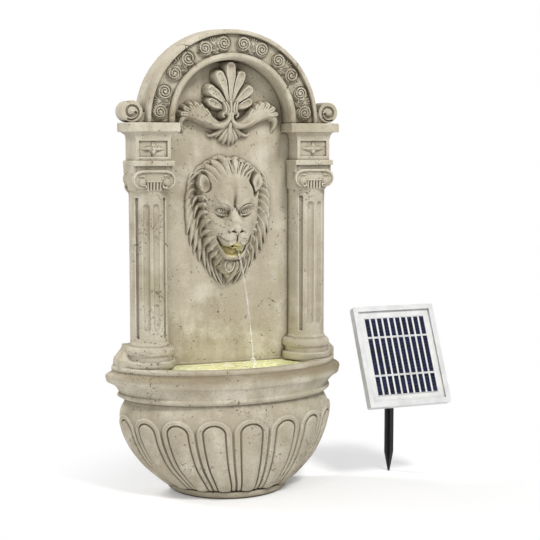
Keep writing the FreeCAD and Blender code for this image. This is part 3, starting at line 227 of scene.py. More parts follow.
# Sculpting in a block of signed distances
class Clay:
    def __init__(self, low, high, step):
        self.low = np.array(low, float)
        self.step = step
        count = [int(math.ceil((h - l) / step)) + 1 for l, h in zip(low, high)]
        self.d = np.full(count, 40.0, np.float32)
        self.axes = [(l + step * np.arange(c)).astype(np.float32) for l, c in zip(low, count)]

    def window(self, low, high, pad):
        parts = []
        for i in range(3):
            a = int(math.floor((low[i] - pad - self.low[i]) / self.step))
            b = int(math.ceil((high[i] + pad - self.low[i]) / self.step)) + 1
            size = self.d.shape[i]
            parts.append(slice(min(max(a, 0), size), max(0, min(b, size))))
        return tuple(parts), np.ix_(*[ax[s] for ax, s in zip(self.axes, parts)])

    def add(self, shape, k=1.0):
        low, high, f = shape
        parts, grids = self.window(low, high, k + 2 * self.step)
        if self.d[parts].size:
            self.d[parts] = smin(self.d[parts], f(*grids), k)

    def cut(self, shape, k=1.0):
        low, high, f = shape
        parts, grids = self.window(low, high, k + 2 * self.step)
        if self.d[parts].size:
            self.d[parts] = smax(self.d[parts], -f(*grids), k)

    def keep_front(self, p0):
        self.d = np.maximum(self.d, (p0 - self.axes[1])[None, :, None])

    def mesh(self):
        d = np.clip(self.d, -3 * self.step, 3 * self.step)
        edge = self.step
        for ax in range(3):
            first = [slice(None)] * 3
            last = [slice(None)] * 3
            first[ax] = 0
            last[ax] = -1
            d[tuple(first)] = np.maximum(d[tuple(first)], edge)
            d[tuple(last)] = np.maximum(d[tuple(last)], edge)
        grid = openvdb.FloatGrid(3 * self.step)
        grid.copyFromArray(np.ascontiguousarray(d, dtype=np.float32))
        points, quads = grid.convertToQuads(isovalue=0.0)
        return self.low + points.astype(float) * self.step, quads


def rounded(edge, *parts):
    """Distance to what the parts bound together, its edges rounded."""
    inside = np.minimum(functools.reduce(np.maximum, parts), 0)
    return inside + np.sqrt(sum(np.maximum(q, 0) ** 2 for q in parts)) - edge


def span(v, low, high, edge):
    return np.abs(v - (low + high) / 2) - (high - low) / 2 + edge


def ellipsoid(c, r):
    big = max(r)

    def f(X, P, Z):
        u, v, w = X - c[0], P - c[1], Z - c[2]
        k0 = np.sqrt((u / r[0]) ** 2 + (v / r[1]) ** 2 + (w / r[2]) ** 2)
        k1 = np.sqrt((u / r[0] ** 2) ** 2 + (v / r[1] ** 2) ** 2 + (w / r[2] ** 2) ** 2)
        return k0 * (k0 - 1) / np.maximum(k1, 1e-6)
    return [v - big for v in c], [v + big for v in c], f


def tube(points, radii):
    p = np.array(points, float)
    r = np.broadcast_to(np.array(radii, float), (len(p),))
    low = p.min(0) - r.max()
    high = p.max(0) + r.max()

    def f(X, P, Z):
        best = None
        for a, b, ra, rb in zip(p, p[1:], r, r[1:]):
            ab = b - a
            m = max(float(ab @ ab), 1e-9)
            t = np.clip(((X - a[0]) * ab[0] + (P - a[1]) * ab[1] + (Z - a[2]) * ab[2]) / m, 0, 1)
            d = np.sqrt((X - a[0] - t * ab[0]) ** 2 + (P - a[1] - t * ab[1]) ** 2
                        + (Z - a[2] - t * ab[2]) ** 2) - (ra + t * (rb - ra))
            best = d if best is None else np.minimum(best, d)
        return best
    return low, high, f


def rod_z(x, p, r, z0, z1, edge):
    def f(X, P, Z):
        q = np.sqrt((X - x) ** 2 + (P - p) ** 2) - r + edge
        return rounded(edge, q, span(Z, z0, z1, edge))
    return (x - r, p - r, z0), (x + r, p + r, z1), f


def rod_p(x, z, r, p0, p1, edge):
    def f(X, P, Z):
        q = np.sqrt((X - x) ** 2 + (Z - z) ** 2) - r + edge
        return rounded(edge, q, span(P, p0, p1, edge))
    return (x - r, p0, z - r), (x + r, p1, z + r), f


def block(x0, x1, p0, p1, z0, z1, edge):
    def f(X, P, Z):
        return rounded(edge, span(X, x0, x1, edge), span(P, p0, p1, edge), span(Z, z0, z1, edge))
    return (x0, p0, z0), (x1, p1, z1), f


# Raised work on a wall
class Relief:
    """Height p of raised work for every place of an x-z grid."""

    def __init__(self, low, high, step):
        self.X, self.Z = np.meshgrid(np.arange(low[0], high[0], step), np.arange(low[1], high[1], step))
        self.low = low
        self.step = step
        self.p = np.full(self.X.shape, GROUND_P)
        self.base = self.p

    def keep_base(self):
        """Later strokes lie at a height over the work as it is now."""
        self.base = self.p.copy()

    def level(self, line):
        rows, cols = self.p.shape
        col = np.clip(np.round((line[:, 0] - self.low[0]) / self.step).astype(int), 0, cols - 1)
        row = np.clip(np.round((line[:, 1] - self.low[1]) / self.step).astype(int), 0, rows - 1)
        return self.base[row, col]

    def near(self, line, pad):
        """Part of the grid round a line."""
        (x0, z0), (x1, z1) = line.min(0) - pad, line.max(0) + pad
        c0, c1 = (int((v - self.low[0]) / self.step) for v in (x0, x1))
        r0, r1 = (int((v - self.low[1]) / self.step) for v in (z0, z1))
        return slice(max(r0, 0), max(r1 + 2, 0)), slice(max(c0, 0), max(c1 + 2, 0))

    def trace(self, path, wide, count):
        """Window round a tapered line and, for its places, offset across, part along and distance outside."""
        line = spline(path, count)
        w = np.interp(np.linspace(0, 1, count), np.linspace(0, 1, len(wide)), wide)
        win = self.near(line, w.max() + 3.0)
        X, Z = self.X[win], self.Z[win]
        best = np.full(X.shape, 1e9)
        across = np.zeros(X.shape)
        along = np.zeros(X.shape)
        out = np.zeros(X.shape)
        for i in range(count - 1):
            t, dx, dz = along_segment(X, Z, line[i], line[i + 1])
            ab = line[i + 1] - line[i]
            here = w[i] + t * (w[i + 1] - w[i])
            d = np.hypot(dx, dz)
            q = d / here
            new = q < best
            best = np.where(new, q, best)
            across = np.where(new, q * np.sign(ab[0] * dz - ab[1] * dx), across)
            along = np.where(new, (i + t) / (count - 1), along)
            out = np.where(new, d - here, out)
        return line, win, across, along, out

    def stroke(self, path, wide, high, section, k=0.6, steep=4.0, over=False, count=20):
        """Raised line; high is p itself, or its height over the base, and section shapes it across."""
        line, win, across, along, out = self.trace(path, wide, count)
        s = np.linspace(0, 1, count)
        top = np.interp(s, np.linspace(0, 1, len(high)), high)
        if over:
            top = top + self.level(line)
        v = np.clip(across, -1, 1)
        value = np.interp(along, s, top) + section(v, along) - steep * np.maximum(out, 0)
        self.p[win] = smax(self.p[win], value, k)

    def pair(self, path, *looks, **more):
        """The same stroke on both sides."""
        for _, line in both_sides(path):
            self.stroke(line, *looks, **more)

    def carve(self, path, wide, deep, count=14):
        _, win, across, along, _ = self.trace(path, wide, count)
        depth = np.interp(along, np.linspace(0, 1, len(deep)), deep)
        self.p[win] -= depth * np.clip(1 - across ** 2, 0, 1) ** 1.5

    def spot(self, x, z, rx, rz):
        return np.exp(-((self.X - x) / rx) ** 2 - ((self.Z - z) / rz) ** 2)

    def dab(self, x, z, rx, rz, amount):
        self.p += amount * self.spot(x, z, rx, rz)

    def ball(self, x, z, rx, rz, low, high):
        q = np.hypot((self.X - x) / rx, (self.Z - z) / rz)
        dome = low + (high - low) * np.sqrt(np.clip(1 - q * q, 0, 1))
        self.p = np.where(q < 1, np.maximum(self.p, dome), self.p)

    def mesh(self):
        """Points and faces of what stands out from the wall."""
        P = np.maximum(self.p, GROUND_P)
        f = grid_faces(*P.shape)
        f = f[(P.reshape(-1)[f] > GROUND_P + 0.01).any(axis=1)]
        self.used, f = np.unique(f, return_inverse=True)
        points = np.stack([self.X, P, self.Z], axis=-1).reshape(-1, 3)[self.used]
        return points, f.reshape(-1, 4)

    def finish(self, name, node, reach, depth, left=1.0, painted_shade_spots=()):
        """Piece, with a dark mark on what lies below its surroundings, which stands for the washed hollows
        and paints their shade, and with painted shade on given spots.
        The mark is stronger on the left side by the factor left, which paints the shade of light that comes
        from the right."""
        obj = make_piece(name, *self.mesh(), STONE, [node], outward=True)
        P = np.maximum(self.p, GROUND_P)
        n = int(reach / self.step)
        around = soften(soften(P, n).T, n).T
        # Painted shade, together with the washed hollows, where the work lies below its surroundings
        low = np.clip((around - P) / depth, 0, 1) * (P > GROUND_P + 0.5)
        # Painted shade, stronger on the left side
        low = low * np.where(self.X < 0, left, 1.0)
        # Painted shade at the given spots
        for x, z, rx, rz, amount in painted_shade_spots:
            low = low + amount * self.spot(x, z, rx, rz)
        mark = obj.data.attributes.new("wash_and_painted_shade", "FLOAT", "POINT")
        mark.data.foreach_set("value", low.reshape(-1)[self.used].astype(np.float32))


def curl(dome, lines=0, tilt=0.0):
    """Section of a lock of hair: domed, with fine lines, one side higher than the other."""
    def f(v, s):
        round_part = -dome * (1 - np.sqrt(np.clip(1 - v * v, 0, 1)))
        return round_part + 0.5 * np.cos(2 * math.pi * lines * v) * (lines > 0) + tilt * v
    return f


def ridge(drop, lean=0.0):
    """Section with a sharp crest, leaning to one side."""
    def f(v, s):
        return -drop * (np.abs(v - lean) / (1 + abs(lean))) ** 0.9
    return f


def both_sides(path):
    """The path and its mirror image, each with its side."""
    return [(s, [(s * x, z) for x, z in path]) for s in (-1, 1)]


# Basin: height, half widths to the side and to the front, and distance of the middle from the wall
BODY = np.array([
    (13.0, 101.0, 97.5, 17.2), (30.0, 123.0, 111.5, 16.5), (60.0, 155.0, 121.5, 14.5),
    (95.0, 176.0, 128.5, 12.0), (128.0, 186.5, 132.0, 10.4), (140.0, 187.0, 132.2, 9.5),
    (150.0, 184.0, 130.5, 8.7), (158.0, 179.5, 126.5, 8.2), (163.0, 178.0, 125.3, 8.0)])
FOOT = np.array([
    (0.0, 97.6, 97.6, 17.5), (1.2, 99.4, 99.4, 17.5), (4.0, 103.0, 103.0, 17.5),
    (8.0, 103.9, 103.9, 17.5), (12.0, 103.6, 103.6, 17.5), (13.4, 101.5, 101.5, 17.5),
    (13.6, 96.0, 96.0, 17.5)])
RIM = np.array([
    (158.0, 176.0, 123.5, 8.0), (163.2, 178.5, 125.6, 8.0), (164.0, 184.5, 130.2, 7.6),
    (167.5, 190.6, 133.8, 6.7), (170.5, 191.4, 134.4, 6.7), (173.0, 190.3, 133.7, 6.7),
    (174.5, 188.0, 131.9, 6.7), (178.0, 189.0, 132.3, 6.7), (184.0, 193.6, 134.0, 6.7),
    (190.5, 202.6, 136.2, 6.7), (191.0, 204.6, 137.2, 6.7), (193.3, 209.0, 138.0, 6.7),
    (195.0, 209.4, 138.2, 6.7), (198.5, 210.6, 138.5, 6.7), (203.0, 211.4, 138.4, 6.7),
    (205.6, 210.9, 137.8, 6.7), (207.4, 208.8, 135.9, 6.7), (209.0, 205.8, 133.2, 6.7),
    (210.2, 202.8, 130.5, 6.7), (211.2, 200.4, 128.4, 6.7), (212.8, 199.8, 127.9, 6.7),
    (214.2, 200.6, 128.6, 6.7), (217.5, 200.9, 128.8, 6.7), (220.0, 200.2, 128.2, 6.7),
    (221.5, 198.2, 126.3, 6.7), (222.0, 194.6, 122.9, 6.7), (221.2, 189.5, 119.6, 6.7)])
# Lobes of the bowl: degrees between them, height of their tops and how far the round end reaches down
LOBE_PITCH = 20.0
LOBE_TOP = 141.5
LOBE_CAP = 25.0
# Wear of the rim: height of the waves, and where they begin and end
RIM_WEAR = 0.35
WEAR_LOW = (175, 190)
WEAR_HIGH = (214, 221)


def oval_rows(rows, columns):
    """Half ovals one above the other that end at the wall, and their angles."""
    z, a, b, pc = rows.T
    limit = np.arccos(np.clip((BACK_P - pc) / b, -1, 1))
    t = limit[:, None] * np.linspace(-1, 1, columns)[None, :]
    x = a[:, None] * np.sin(t)
    p = pc[:, None] + b[:, None] * np.cos(t)
    return np.stack([x, p, z[:, None] + 0 * t], axis=-1), t


def lobe_height(t, rows):
    """Raised band, thin groove and convex inner lobe, repeated all round."""
    z, a, b = rows.T[:3]
    mean = (a + b) / 2
    run = np.concatenate([[0], np.cumsum(np.hypot(np.diff(z), np.diff(mean)))])
    v = (np.interp(LOBE_TOP, z, run) - run)[:, None]
    pitch = math.radians(LOBE_PITCH)
    tc = np.round(t / pitch) * pitch
    metric = np.sqrt((a[:, None] * np.cos(tc)) ** 2 + (b[:, None] * np.sin(tc)) ** 2)
    half = metric * pitch / 2 - 0.9
    u = (t - tc) * metric
    above = np.maximum(LOBE_CAP - v, 0) / LOBE_CAP
    s = half * (1 - np.sqrt((u / half) ** 2 + above ** 2))
    wide = half / 30.0
    swell = 3.5 + 0.5 * np.sin(np.clip(s / (11 * wide), 0, 1) * math.pi)
    band = step_up(s, -0.4, 2.6 * wide) * swell
    inner = s - 12.0 * wide
    groove = -3.0 * bump(inner, -0.4 * wide, 1.25 * wide)
    hollow = -1.0 * step_up(inner, -2.0 * wide, 1.0 * wide)
    core = np.clip(inner / (17.0 * wide), 0, 1)
    dome = 4.2 * np.sqrt(np.clip(1 - (1 - core) ** 2, 0, 1))
    fade = step_up(v, -3, 3) * step_up(z[:, None], 12.5, 20.0)
    return (band + groove + hollow + dome) * fade


def build_basin():
    build_bowl()
    build_foot()
    build_rim()


def build_bowl():
    dense = resample(spline(BODY, 200), 1.15)
    dense = dense[(dense[:, 0] >= BODY[0, 0]) & (dense[:, 0] <= BODY[-1, 0])]
    grid, t = oval_rows(dense, 430)
    middle = np.array([0, 10.0, 110.0])
    n = surface_normals(grid)
    outward = np.sign(np.sum(n * (grid - middle), axis=-1, keepdims=True))
    side = step_up(grid[:, :, 1], BACK_P, BACK_P + 4)
    out = grid + n * outward * (lobe_height(t, dense) * side)[:, :, None]
    out[:, :, 1] = np.maximum(out[:, :, 1], BACK_P)
    make_sheet("basin_bowl", out, nodes=["basin"], close_cols=True)


def build_foot():
    foot = soften(resample(FOOT, 0.8), 1)
    # A very small first ring closes the foot below
    foot = np.vstack([foot[:1] * [1, 0.02, 0.02, 1], foot])
    make_sheet("basin_foot", oval_rows(foot, 160)[0], close_cols=True)


def build_rim():
    rim = soften(resample(RIM, 0.5), 2)[::2]
    grid = oval_rows(rim, 260)[0]
    x, z = grid[:, :, 0], grid[:, :, 2]
    worn = RIM_WEAR * np.sin(x * 0.11 + 1.3) * np.sin(z * 0.35 + x * 0.02)
    grid[:, :, 2] += worn * step_up(z, *WEAR_LOW) * step_up(-z, -WEAR_HIGH[1], -WEAR_HIGH[0])
    make_sheet("basin_rim", grid, close_cols=True)


# Pool: the same, from its floor up
POOL = np.array([
    (26.0, 108.0, 96.0, 14.5), (60.0, 143.0, 111.0, 13.5), (95.0, 165.0, 118.5, 11.5),
    (128.0, 175.0, 122.0, 10.0), (158.0, 171.0, 118.5, 8.0), (190.0, 176.0, 116.0, 6.7),
    (222.0, 179.0, 115.0, 6.7)])
POOL_MID = (0.0, 70.0)
# Rear corners of the pool, which the bases of the columns take away
CORNER_X = 101.0
CORNER_P = 42.0
# Deck round the pool: half widths, middle before the wall, and the rounding of its inner edge
DECK = (196.0, 124.0, 6.7)
LIP = 2.4
POOL_FLOOR = 26.2
RING = np.linspace(0, 2 * math.pi, 540, endpoint=False)


def ellipse_reach(angle, a, b, pc):
    """Distance from the pool's middle to an ellipse whose own middle lies pc before the wall."""
    dx = np.sin(angle)
    dp = np.cos(angle)
    m = POOL_MID[1] - pc
    qa = (dx / a) ** 2 + (dp / b) ** 2
    qb = 2 * dp * m / b ** 2
    qc = (m / b) ** 2 - 1
    return (-qb + np.sqrt(np.maximum(qb * qb - 4 * qa * qc, 0))) / (2 * qa)


def line_reach(angle, p):
    """Distance from the pool's middle back to a line along the wall."""
    dp = np.cos(angle)
    return np.where(dp < -1e-6, (p - POOL_MID[1]) / np.minimum(dp, -1e-6), 1e9)


def pool_reach(angle, z, grow=0.0):
    """Distance from the pool's middle to its wall at a height."""
    a, b, pc = (np.interp(z, POOL[:, 0], POOL[:, i]) for i in (1, 2, 3))
    r = np.minimum(ellipse_reach(angle, a + grow, b + grow, pc), line_reach(angle, NICHE_P - grow))
    side = (CORNER_X + grow) / np.maximum(np.abs(np.sin(angle)), 1e-6)
    return np.minimum(r, np.maximum(line_reach(angle, CORNER_P - grow), side))


def deck_reach(angle, grow):
    a, b, pc = DECK
    return np.minimum(ellipse_reach(angle, a + grow, b + grow, pc), line_reach(angle, BACK_P))


def polar_sheet(levels):
    """Rings round the pool's middle from (reach, height) pairs."""
    rows = []
    for r, z in levels:
        x = POOL_MID[0] + r * np.sin(RING)
        p = POOL_MID[1] + r * np.cos(RING)
        rows.append(np.stack([x, p, z + 0 * r], axis=-1))
    return np.stack(rows)


def build_pool():
    face = DECK_Z - 0.3
    outer = deck_reach(RING, -1.0)
    top = pool_reach(RING, DECK_Z)
    levels = [(deck_reach(RING, -0.5), DECK_Z - 1.0), (outer, DECK_Z - 0.4)]
    for s in np.linspace(0.15, 0.85, 7):
        levels.append((outer + (top + LIP - outer) * s, face))
    for a in np.linspace(0, math.pi / 2, 6):
        levels.append((top + LIP * (1 - math.sin(a)), face - LIP * (1 - math.cos(a))))
    for z in (216, 210, 200, 190, 175, 158, 143, 128, 112, 95, 78, 60, 43, POOL_FLOOR + 0.3):
        levels.append((pool_reach(RING, z), float(z)))
    for s in (0.8, 0.5, 0.2, 0.01):
        levels.append((pool_reach(RING, POOL_FLOOR + 0.3) * s, POOL_FLOOR))
    make_sheet("basin_pool", polar_sheet(levels), outward=False, close_cols=True)


# Wall panel, arch and frieze
PANEL_X = 113
PANEL_Z = (214, 728)
PANEL_R = 139
# Radii of the frieze, and of its middle line; its floor; degrees between its leaves
FRIEZE = (113.9, 143.8)
FRIEZE_R = 129.5
FRIEZE_P = 56.6
FRIEZE_PITCH = 30.4
# Scrolls of the frieze: distance from the leaf, radius and distance of the turns
SCROLL_SIDE = 17.3
SCROLL_R = 12.6
SCROLL_TURN = 4.3


def build_wall():
    X, Z = np.meshgrid(np.linspace(-PANEL_X, PANEL_X, 115), np.linspace(*PANEL_Z, 258))
    wave = 0.5 * np.sin(X * 0.045 + 1) * np.sin(Z * 0.03 + 0.5) + 0.3 * np.sin(X * 0.11 + Z * 0.06)
    # The last millimetres beside the columns are filled up a little
    near = np.minimum(NICHE_X - np.abs(X), 12) / 12
    P = NICHE_P - 0.5 + wave * 0.5 + 1.4 * (1 - np.clip(near, 0, 1)) ** 2
    front = np.stack([X, P, Z], axis=-1).reshape(-1, 3)
    back = np.stack([X, np.full_like(X, BACK_P), Z], axis=-1).reshape(-1, 3)
    f = grid_faces(*X.shape)
    inside = np.hypot(X, np.maximum(Z - ARCH_Z, 0)).reshape(-1) < PANEL_R
    f = f[inside[f].all(axis=1)]
    faces = np.vstack([f, f[:, ::-1] + X.size])
    make_piece("niche_wall", np.vstack([front, back]), faces, STONE, ["wall_panel"], outward=True)


def scroll_relief(r, phi):
    """Height of the scroll frieze over its floor, from the radius in mm and the angle in degrees."""
    h = np.zeros_like(r)
    k = np.clip(np.round((phi - 90) / FRIEZE_PITCH - 0.5) + 0.5, -2.5, 2.5)
    s = np.radians(phi - 90 - k * FRIEZE_PITCH) * FRIEZE_R
    y = r - FRIEZE_R
    for i in range(-2, 3):
        a = math.radians(25.0 * i)
        root = (0.0, -1.0)
        bend = (math.sin(a) * 6.0, 5.0 + math.cos(a) * 2.0)
        tip = (math.sin(a) * 10.0, 3.0 + math.cos(a) * 9.6)
        h = np.maximum(h, lined_band(s, y, np.array([root, bend, tip]), 1.3, 9.0, 3.6))
    for side in (-1.0, 1.0):
        calyx = spline([(side * 0.8, -13.6), (side * 2.6, -9.0), (side * 6.2, -7.6)], 8)
        h = np.maximum(h, lined_band(s, y, calyx, 1.9, 9.0, 4.6))
        stem = spline([(side * 1.6, -12.5), (side * 2.6, -5.5), (side * 5.6, 1.5), (side * 10.5, 7.5)], 14)
        h = np.maximum(h, lined_band(s, y, stem, 3.6, 3.6, 6.0))
        u = (s - side * SCROLL_SIDE) * side
        w = y + 0.3
        rho = np.hypot(u, w)
        turn = (np.arctan2(w, -u) / (2 * math.pi)) % 1.0
        phase = ((SCROLL_R - rho) / SCROLL_TURN - turn) % 1.0
        groove = np.minimum(phase, 1 - phase) * SCROLL_TURN
        disc = step_up(SCROLL_R - rho, -0.3, 0.7)
        cut = np.exp(-(groove / 0.75) ** 2) * step_up(rho, 1.4, 2.2)
        h = np.maximum(h, disc * (5.9 - 3.6 * cut))
    return h


def lined_band(s, y, path, half, pitch, high):
    """Raised band along a path with a ridge every pitch."""
    best = np.full_like(s, 99.0)
    for a, b in zip(path, path[1:]):
        _, ds, dy = along_segment(s, y, a, b)
        best = np.minimum(best, np.hypot(ds, dy))
    lines = 0.5 + 0.5 * np.cos(2 * math.pi * best / pitch)
    return step_up(half - best, -0.3, 0.7) * (high - 3.0 + 3.0 * lines)


def arc_grid(r, p, angles):
    """Points at radius r round the arch's middle and distance p before the wall."""
    return np.stack([r * np.cos(angles) + 0 * p, p + 0 * angles, ARCH_Z + r * np.sin(angles)], axis=-1)


def arc_angles(beyond, count):
    """Angles of the arch, and as many degrees beyond at both ends."""
    return np.linspace(math.radians(-beyond), math.radians(180 + beyond), count)


def build_arch():
    inner, outer = FRIEZE
    # Section of the arch as radius and p, from the niche over the frieze to the outside
    outline = np.array([
        (101.2, 6.0), (101.4, 27.0), (101.6, 52.0), (102.2, 58.0), (103.6, 61.6), (105.6, 63.4),
        (108.2, 64.0), (110.8, 63.2), (112.8, 61.2), (inner - 0.3, 58.6), (inner, 54.5), (outer, 54.5),
        (outer + 0.2, 59.0), (outer + 0.5, 63.4), (outer + 1.4, 64.8), (146.6, 65.2), (149.2, 64.8),
        (151.0, 62.8), (152.2, 54.0), (153.6, 34.0), (154.6, 14.0), (155.6, BACK_P)])
    profile = soften(resample(outline, 0.7), 1)
    profile = np.vstack([[[outline[0, 0], BACK_P]], profile])
    angles = arc_angles(1.2, 300)
    grid = arc_grid(profile[:, :1], profile[:, 1:], angles[None, :])
    wave = 0.35 * np.sin(angles * 9) + 0.25 * np.sin(angles * 23 + 1)
    grid[:, :, 1] -= np.abs(wave)[None, :] * step_up(profile[:, 1:], 56, 63)
    make_sheet("arch_ring", grid, close_rows=True)
    radii = np.linspace(inner - 0.4, outer + 0.4, 66)
    R, A = np.meshgrid(radii, arc_angles(0.6, 900), indexing="ij")
    edge = np.minimum(R - radii[0], radii[-1] - R)
    P = FRIEZE_P + scroll_relief(R, np.degrees(A)) * step_up(edge, 0.0, 1.2)
    make_sheet("arch_frieze", arc_grid(R, P, A), outward=True)


# Columns: the right one, and its mirror image on the left
# Shaft: radius, outer side of the part behind it, ends
SHAFT_R = 31.3
FLANK_X = 167.0
SHAFT_Z = (240, 520)
# Base: sides, ends and round front of the plinth, and the mouldings over it
PLINTH_X = (101.8, 197.6)
PLINTH_Z = (219, 232.6)
PLINTH_R = 42.3
CAVETTO_R = 37.0
TORUS_R = 40.4
TORUS_TOP = 256.4
# Flutes: degrees to both sides of the middle, which is turned outwards, distance of axes, radius, ends
FLUTES = ((16.0, 32.6, 6.2, 288.0, 488.0), (48.0, 29.8, 3.5, 273.0, 504.0))
FLUTE_TURN = 8.0
# Capital: middle and radius of the side rolls, front of the scrolls, height of their eyes, reeds between
ROLL_OUT = 20.5
ROLL_Z = 534.0
ROLL_R = 15.0
SCROLL_P = 73.8
EYE_Z = 530.0
REED_PITCH = 5.4
# Groove that runs along the top of the capital and turns down at both ends, from the column's middle
CHANNEL = ((-26.5, 524.0), (-30.5, 528.0), (-31.0, 534.5), (-27.5, 540.5), (-20, 543.2), (0, 543.4),
           (20, 543.2), (27.5, 540.5), (31.0, 534.5), (30.5, 528.0), (26.5, 524.0))
CHANNEL_R = 2.2
# Panelled block over the capital with its flower, and the cornice
BLOCK_HALF = 29.8
BLOCK_P = 67.8
PANEL_HALF = 24.0
PANEL_P = 63.6
FLOWER_Z = 584.0
CORNICE_HALF = 43.8
CORNICE_P = 76.8
CORNICE_Z = (611.6, 626.8)
# Roll on top of the cornice: middle, radius, rear and front
TOP_X = 174.0
TOP_Z = 645.2
TOP_R = 17.6
TOP_P = (14.4, 56.0)


def spiral_path(cx, cz, p, r_out, r_in, turns, start_deg, side, count=40):
    t = np.linspace(0, 1, count)
    a = math.radians(start_deg) + side * 2 * math.pi * turns * t
    r = r_out + (r_in - r_out) * t ** 0.85
    return np.stack([cx + r * np.cos(a), np.full(count, p), cz + r * np.sin(a)], axis=1)


def block_at(half, p0, p1, z0, z1, edge):
    """Block centred on the column."""
    return block(COL_X - half, COL_X + half, p0, p1, z0, z1, edge)


def column_rod(r, z0, z1, edge):
    return rod_z(COL_X, COL_P, r, z0, z1, edge)


def clear_niche(c):
    c.cut(block(0, NICHE_X, 0, NICHE_P, 200, 700, 0.5), 0)
    c.keep_front(BACK_P)


def build_column():
    for obj, name, nodes in (build_shaft(), build_capital(), build_top_scroll()):
        mirror_copy(obj, name, nodes)


def build_shaft():
    c = Clay((97.0, BACK_P, 205.0), (200.0, 81.0, 521.0), 1.15)
    c.add(block(COL_X - 30, FLANK_X, 0, COL_P, *SHAFT_Z, 2.0), 0)
    c.add(column_rod(SHAFT_R, SHAFT_Z[0], SHAFT_Z[1] + 2, 0.5), 1.5)
    for deg, out, r, z0, z1 in FLUTES:
        for side in (-1, 1):
            t = math.radians(FLUTE_TURN + side * deg)
            x = COL_X + out * math.sin(t)
            p = COL_P + out * math.cos(t)
            c.cut(tube([(x, p, z0), (x, p, z1)], [r, r]), 0.5)
    c.add(column_rod(33.0, 256, 261, 2.0), 2.5)
    column_base(c)
    clear_niche(c)
    shaft = make_piece("right_column_shaft", *c.mesh(), "cast_stone", ["right_column"])
    return shaft, "left_column_shaft", ["left_column"]


def column_base(c):
    c.add(block(PLINTH_X[0], COL_X, 0, 40.6, *PLINTH_Z, 3.5), 0)
    c.add(column_rod(PLINTH_R, PLINTH_Z[0], PLINTH_Z[1] + 0.4, 3.0), 1.5)
    c.add(flank_flare(), 7.0)
    c.add(rod_z(COL_X, COL_P + 8.0, 34.0, 206, 226, 1.0), 1.5)
    c.add(column_rod(CAVETTO_R, 230, 246, 1.0), 1.5)
    c.add(column_rod(TORUS_R, 238.6, TORUS_TOP, 8.0), 0.6)
    c.add(block(COL_X - TORUS_R, COL_X + 41.0, 0, 33, 240.0, TORUS_TOP, 6.5), 4.0)


def flank_flare():
    """Outer side of the plinth, which runs back to the wall and slopes in towards its top."""
    low, high, round_r = 216.0, 250.0, 16.0
    front = 46.0
    foot_z, rise, run = 234.0, 15.0, 12.5

    def f(X, P, Z):
        slope = np.clip((Z - foot_z) / rise, 0, 1.2) * run
        a = X - (PLINTH_X[1] - 0.8 - slope - round_r)
        b = P - (front - 0.7 * slope - round_r)
        side = np.hypot(np.maximum(a, 0), np.maximum(b, 0)) + np.minimum(np.maximum(a, b), 0) - round_r
        return np.maximum(np.maximum(side, COL_X - X), np.maximum(low - Z, Z - high))
    return (COL_X, 0, low), (PLINTH_X[1], front, high), f


def build_capital():
    c = Clay((95.0, BACK_P, 503.0), (188.5, 79.5, 629.5), 0.85)
    # The shaft's top inside the capital is a little thicker, so that no two faces coincide
    c.add(block(COL_X - 30, FLANK_X + 0.3, 0, COL_P + 0.3, 500, 560, 1.0), 0)
    c.add(column_rod(SHAFT_R + 0.3, 503, 560, 0.5), 1.0)
    c.add(column_rod(34.6, 514.5, 545, 3.0), 1.5)
    scrolls(c)
    c.add(block_at(27.5, 0, 68.6, 546, 558, 1.0), 0.6)
    c.add(block_at(34, 0, 67, 541, 558, 4.0), 0.6)
    c.add(block_at(34.6, 0, 73.6, 556.0, 564.6, 1.6), 0.6)
    c.add(block_at(BLOCK_HALF, 0, BLOCK_P, 562, 606, 1.2), 0.6)
    c.cut(block_at(PANEL_HALF, PANEL_P, 90, 570.8, 597.2, 1.0), 0.5)
    flower(c, COL_X, FLOWER_Z)
    c.add(cove(601.5, 612.5, 8.0), 0.6)
    c.add(block_at(CORNICE_HALF, 0, CORNICE_P, *CORNICE_Z, 1.6), 0.4)
    clear_niche(c)
    return make_piece("right_capital", *c.mesh(), "cast_stone"), "left_capital", []


def scrolls(c):
    """Side rolls, band with its groove, scroll eyes and the reeds between them."""
    c.add(block_at(20, 20, 71.8, 531.0, 549.5, 1.0), 1.0)
    for side in (-1, 1):
        cx = COL_X + side * ROLL_OUT
        c.add(bolster(cx, ROLL_Z, ROLL_R, BACK_P, 72.0), 0.8)
        c.add(rod_p(cx, ROLL_Z, ROLL_R + 0.2, 60.0, SCROLL_P, 1.6), 0.8)
    c.add(block_at(20, 20, SCROLL_P, 540.0, 549.4, 1.2), 0.4)
    c.cut(block_at(16.5, 71.2, 90, 531.8, 540.6, 0.6), 0.6)
    ends = [1.2] + [CHANNEL_R] * (len(CHANNEL) - 2) + [1.2]
    c.cut(tube([(COL_X + x, 73.1, z) for x, z in CHANNEL], ends), 0.3)
    c.cut(block_at(13.5, 68.0, 90, 500, 530.4, 1.5), 0.6)
    for side in (-1, 1):
        cx = COL_X + side * ROLL_OUT
        path = spiral_path(cx, EYE_Z, 73.2, 9.0, 6.4, 0.9, 250, side)
        c.cut(tube(path, np.linspace(2.3, 1.9, len(path))), 0.3)
        c.add(ellipsoid((cx, 72.6, EYE_Z), (5.0, 3.0, 5.0)), 0.6)
    for i in range(-2, 3):
        x = COL_X + i * REED_PITCH
        c.add(tube([(x, 68.6, 517.5), (x, 69.6, 529.0)], [2.0, 2.3]), 0.3)
    c.add(block_at(14, 40, 72.4, 529.8, 532.2, 0.8), 0.3)


def bolster(x, z, r, p0, p1):
    """Side roll of the capital, drawn in along its middle."""
    def f(X, P, Z):
        mid = (P - (p0 + p1) / 2) / (p1 - p0) * 2
        waist = 2.6 * np.clip(1 - mid * mid, 0, 1)
        bead = 0.5 * np.cos(mid * 3 * math.pi) * (np.abs(mid) < 0.35)
        return np.maximum(np.hypot(X - x, Z - z) - (r - waist + bead), np.maximum(p0 - P, P - p1))
    return (x - r, p0, z - r), (x + r, p1, z + r), f


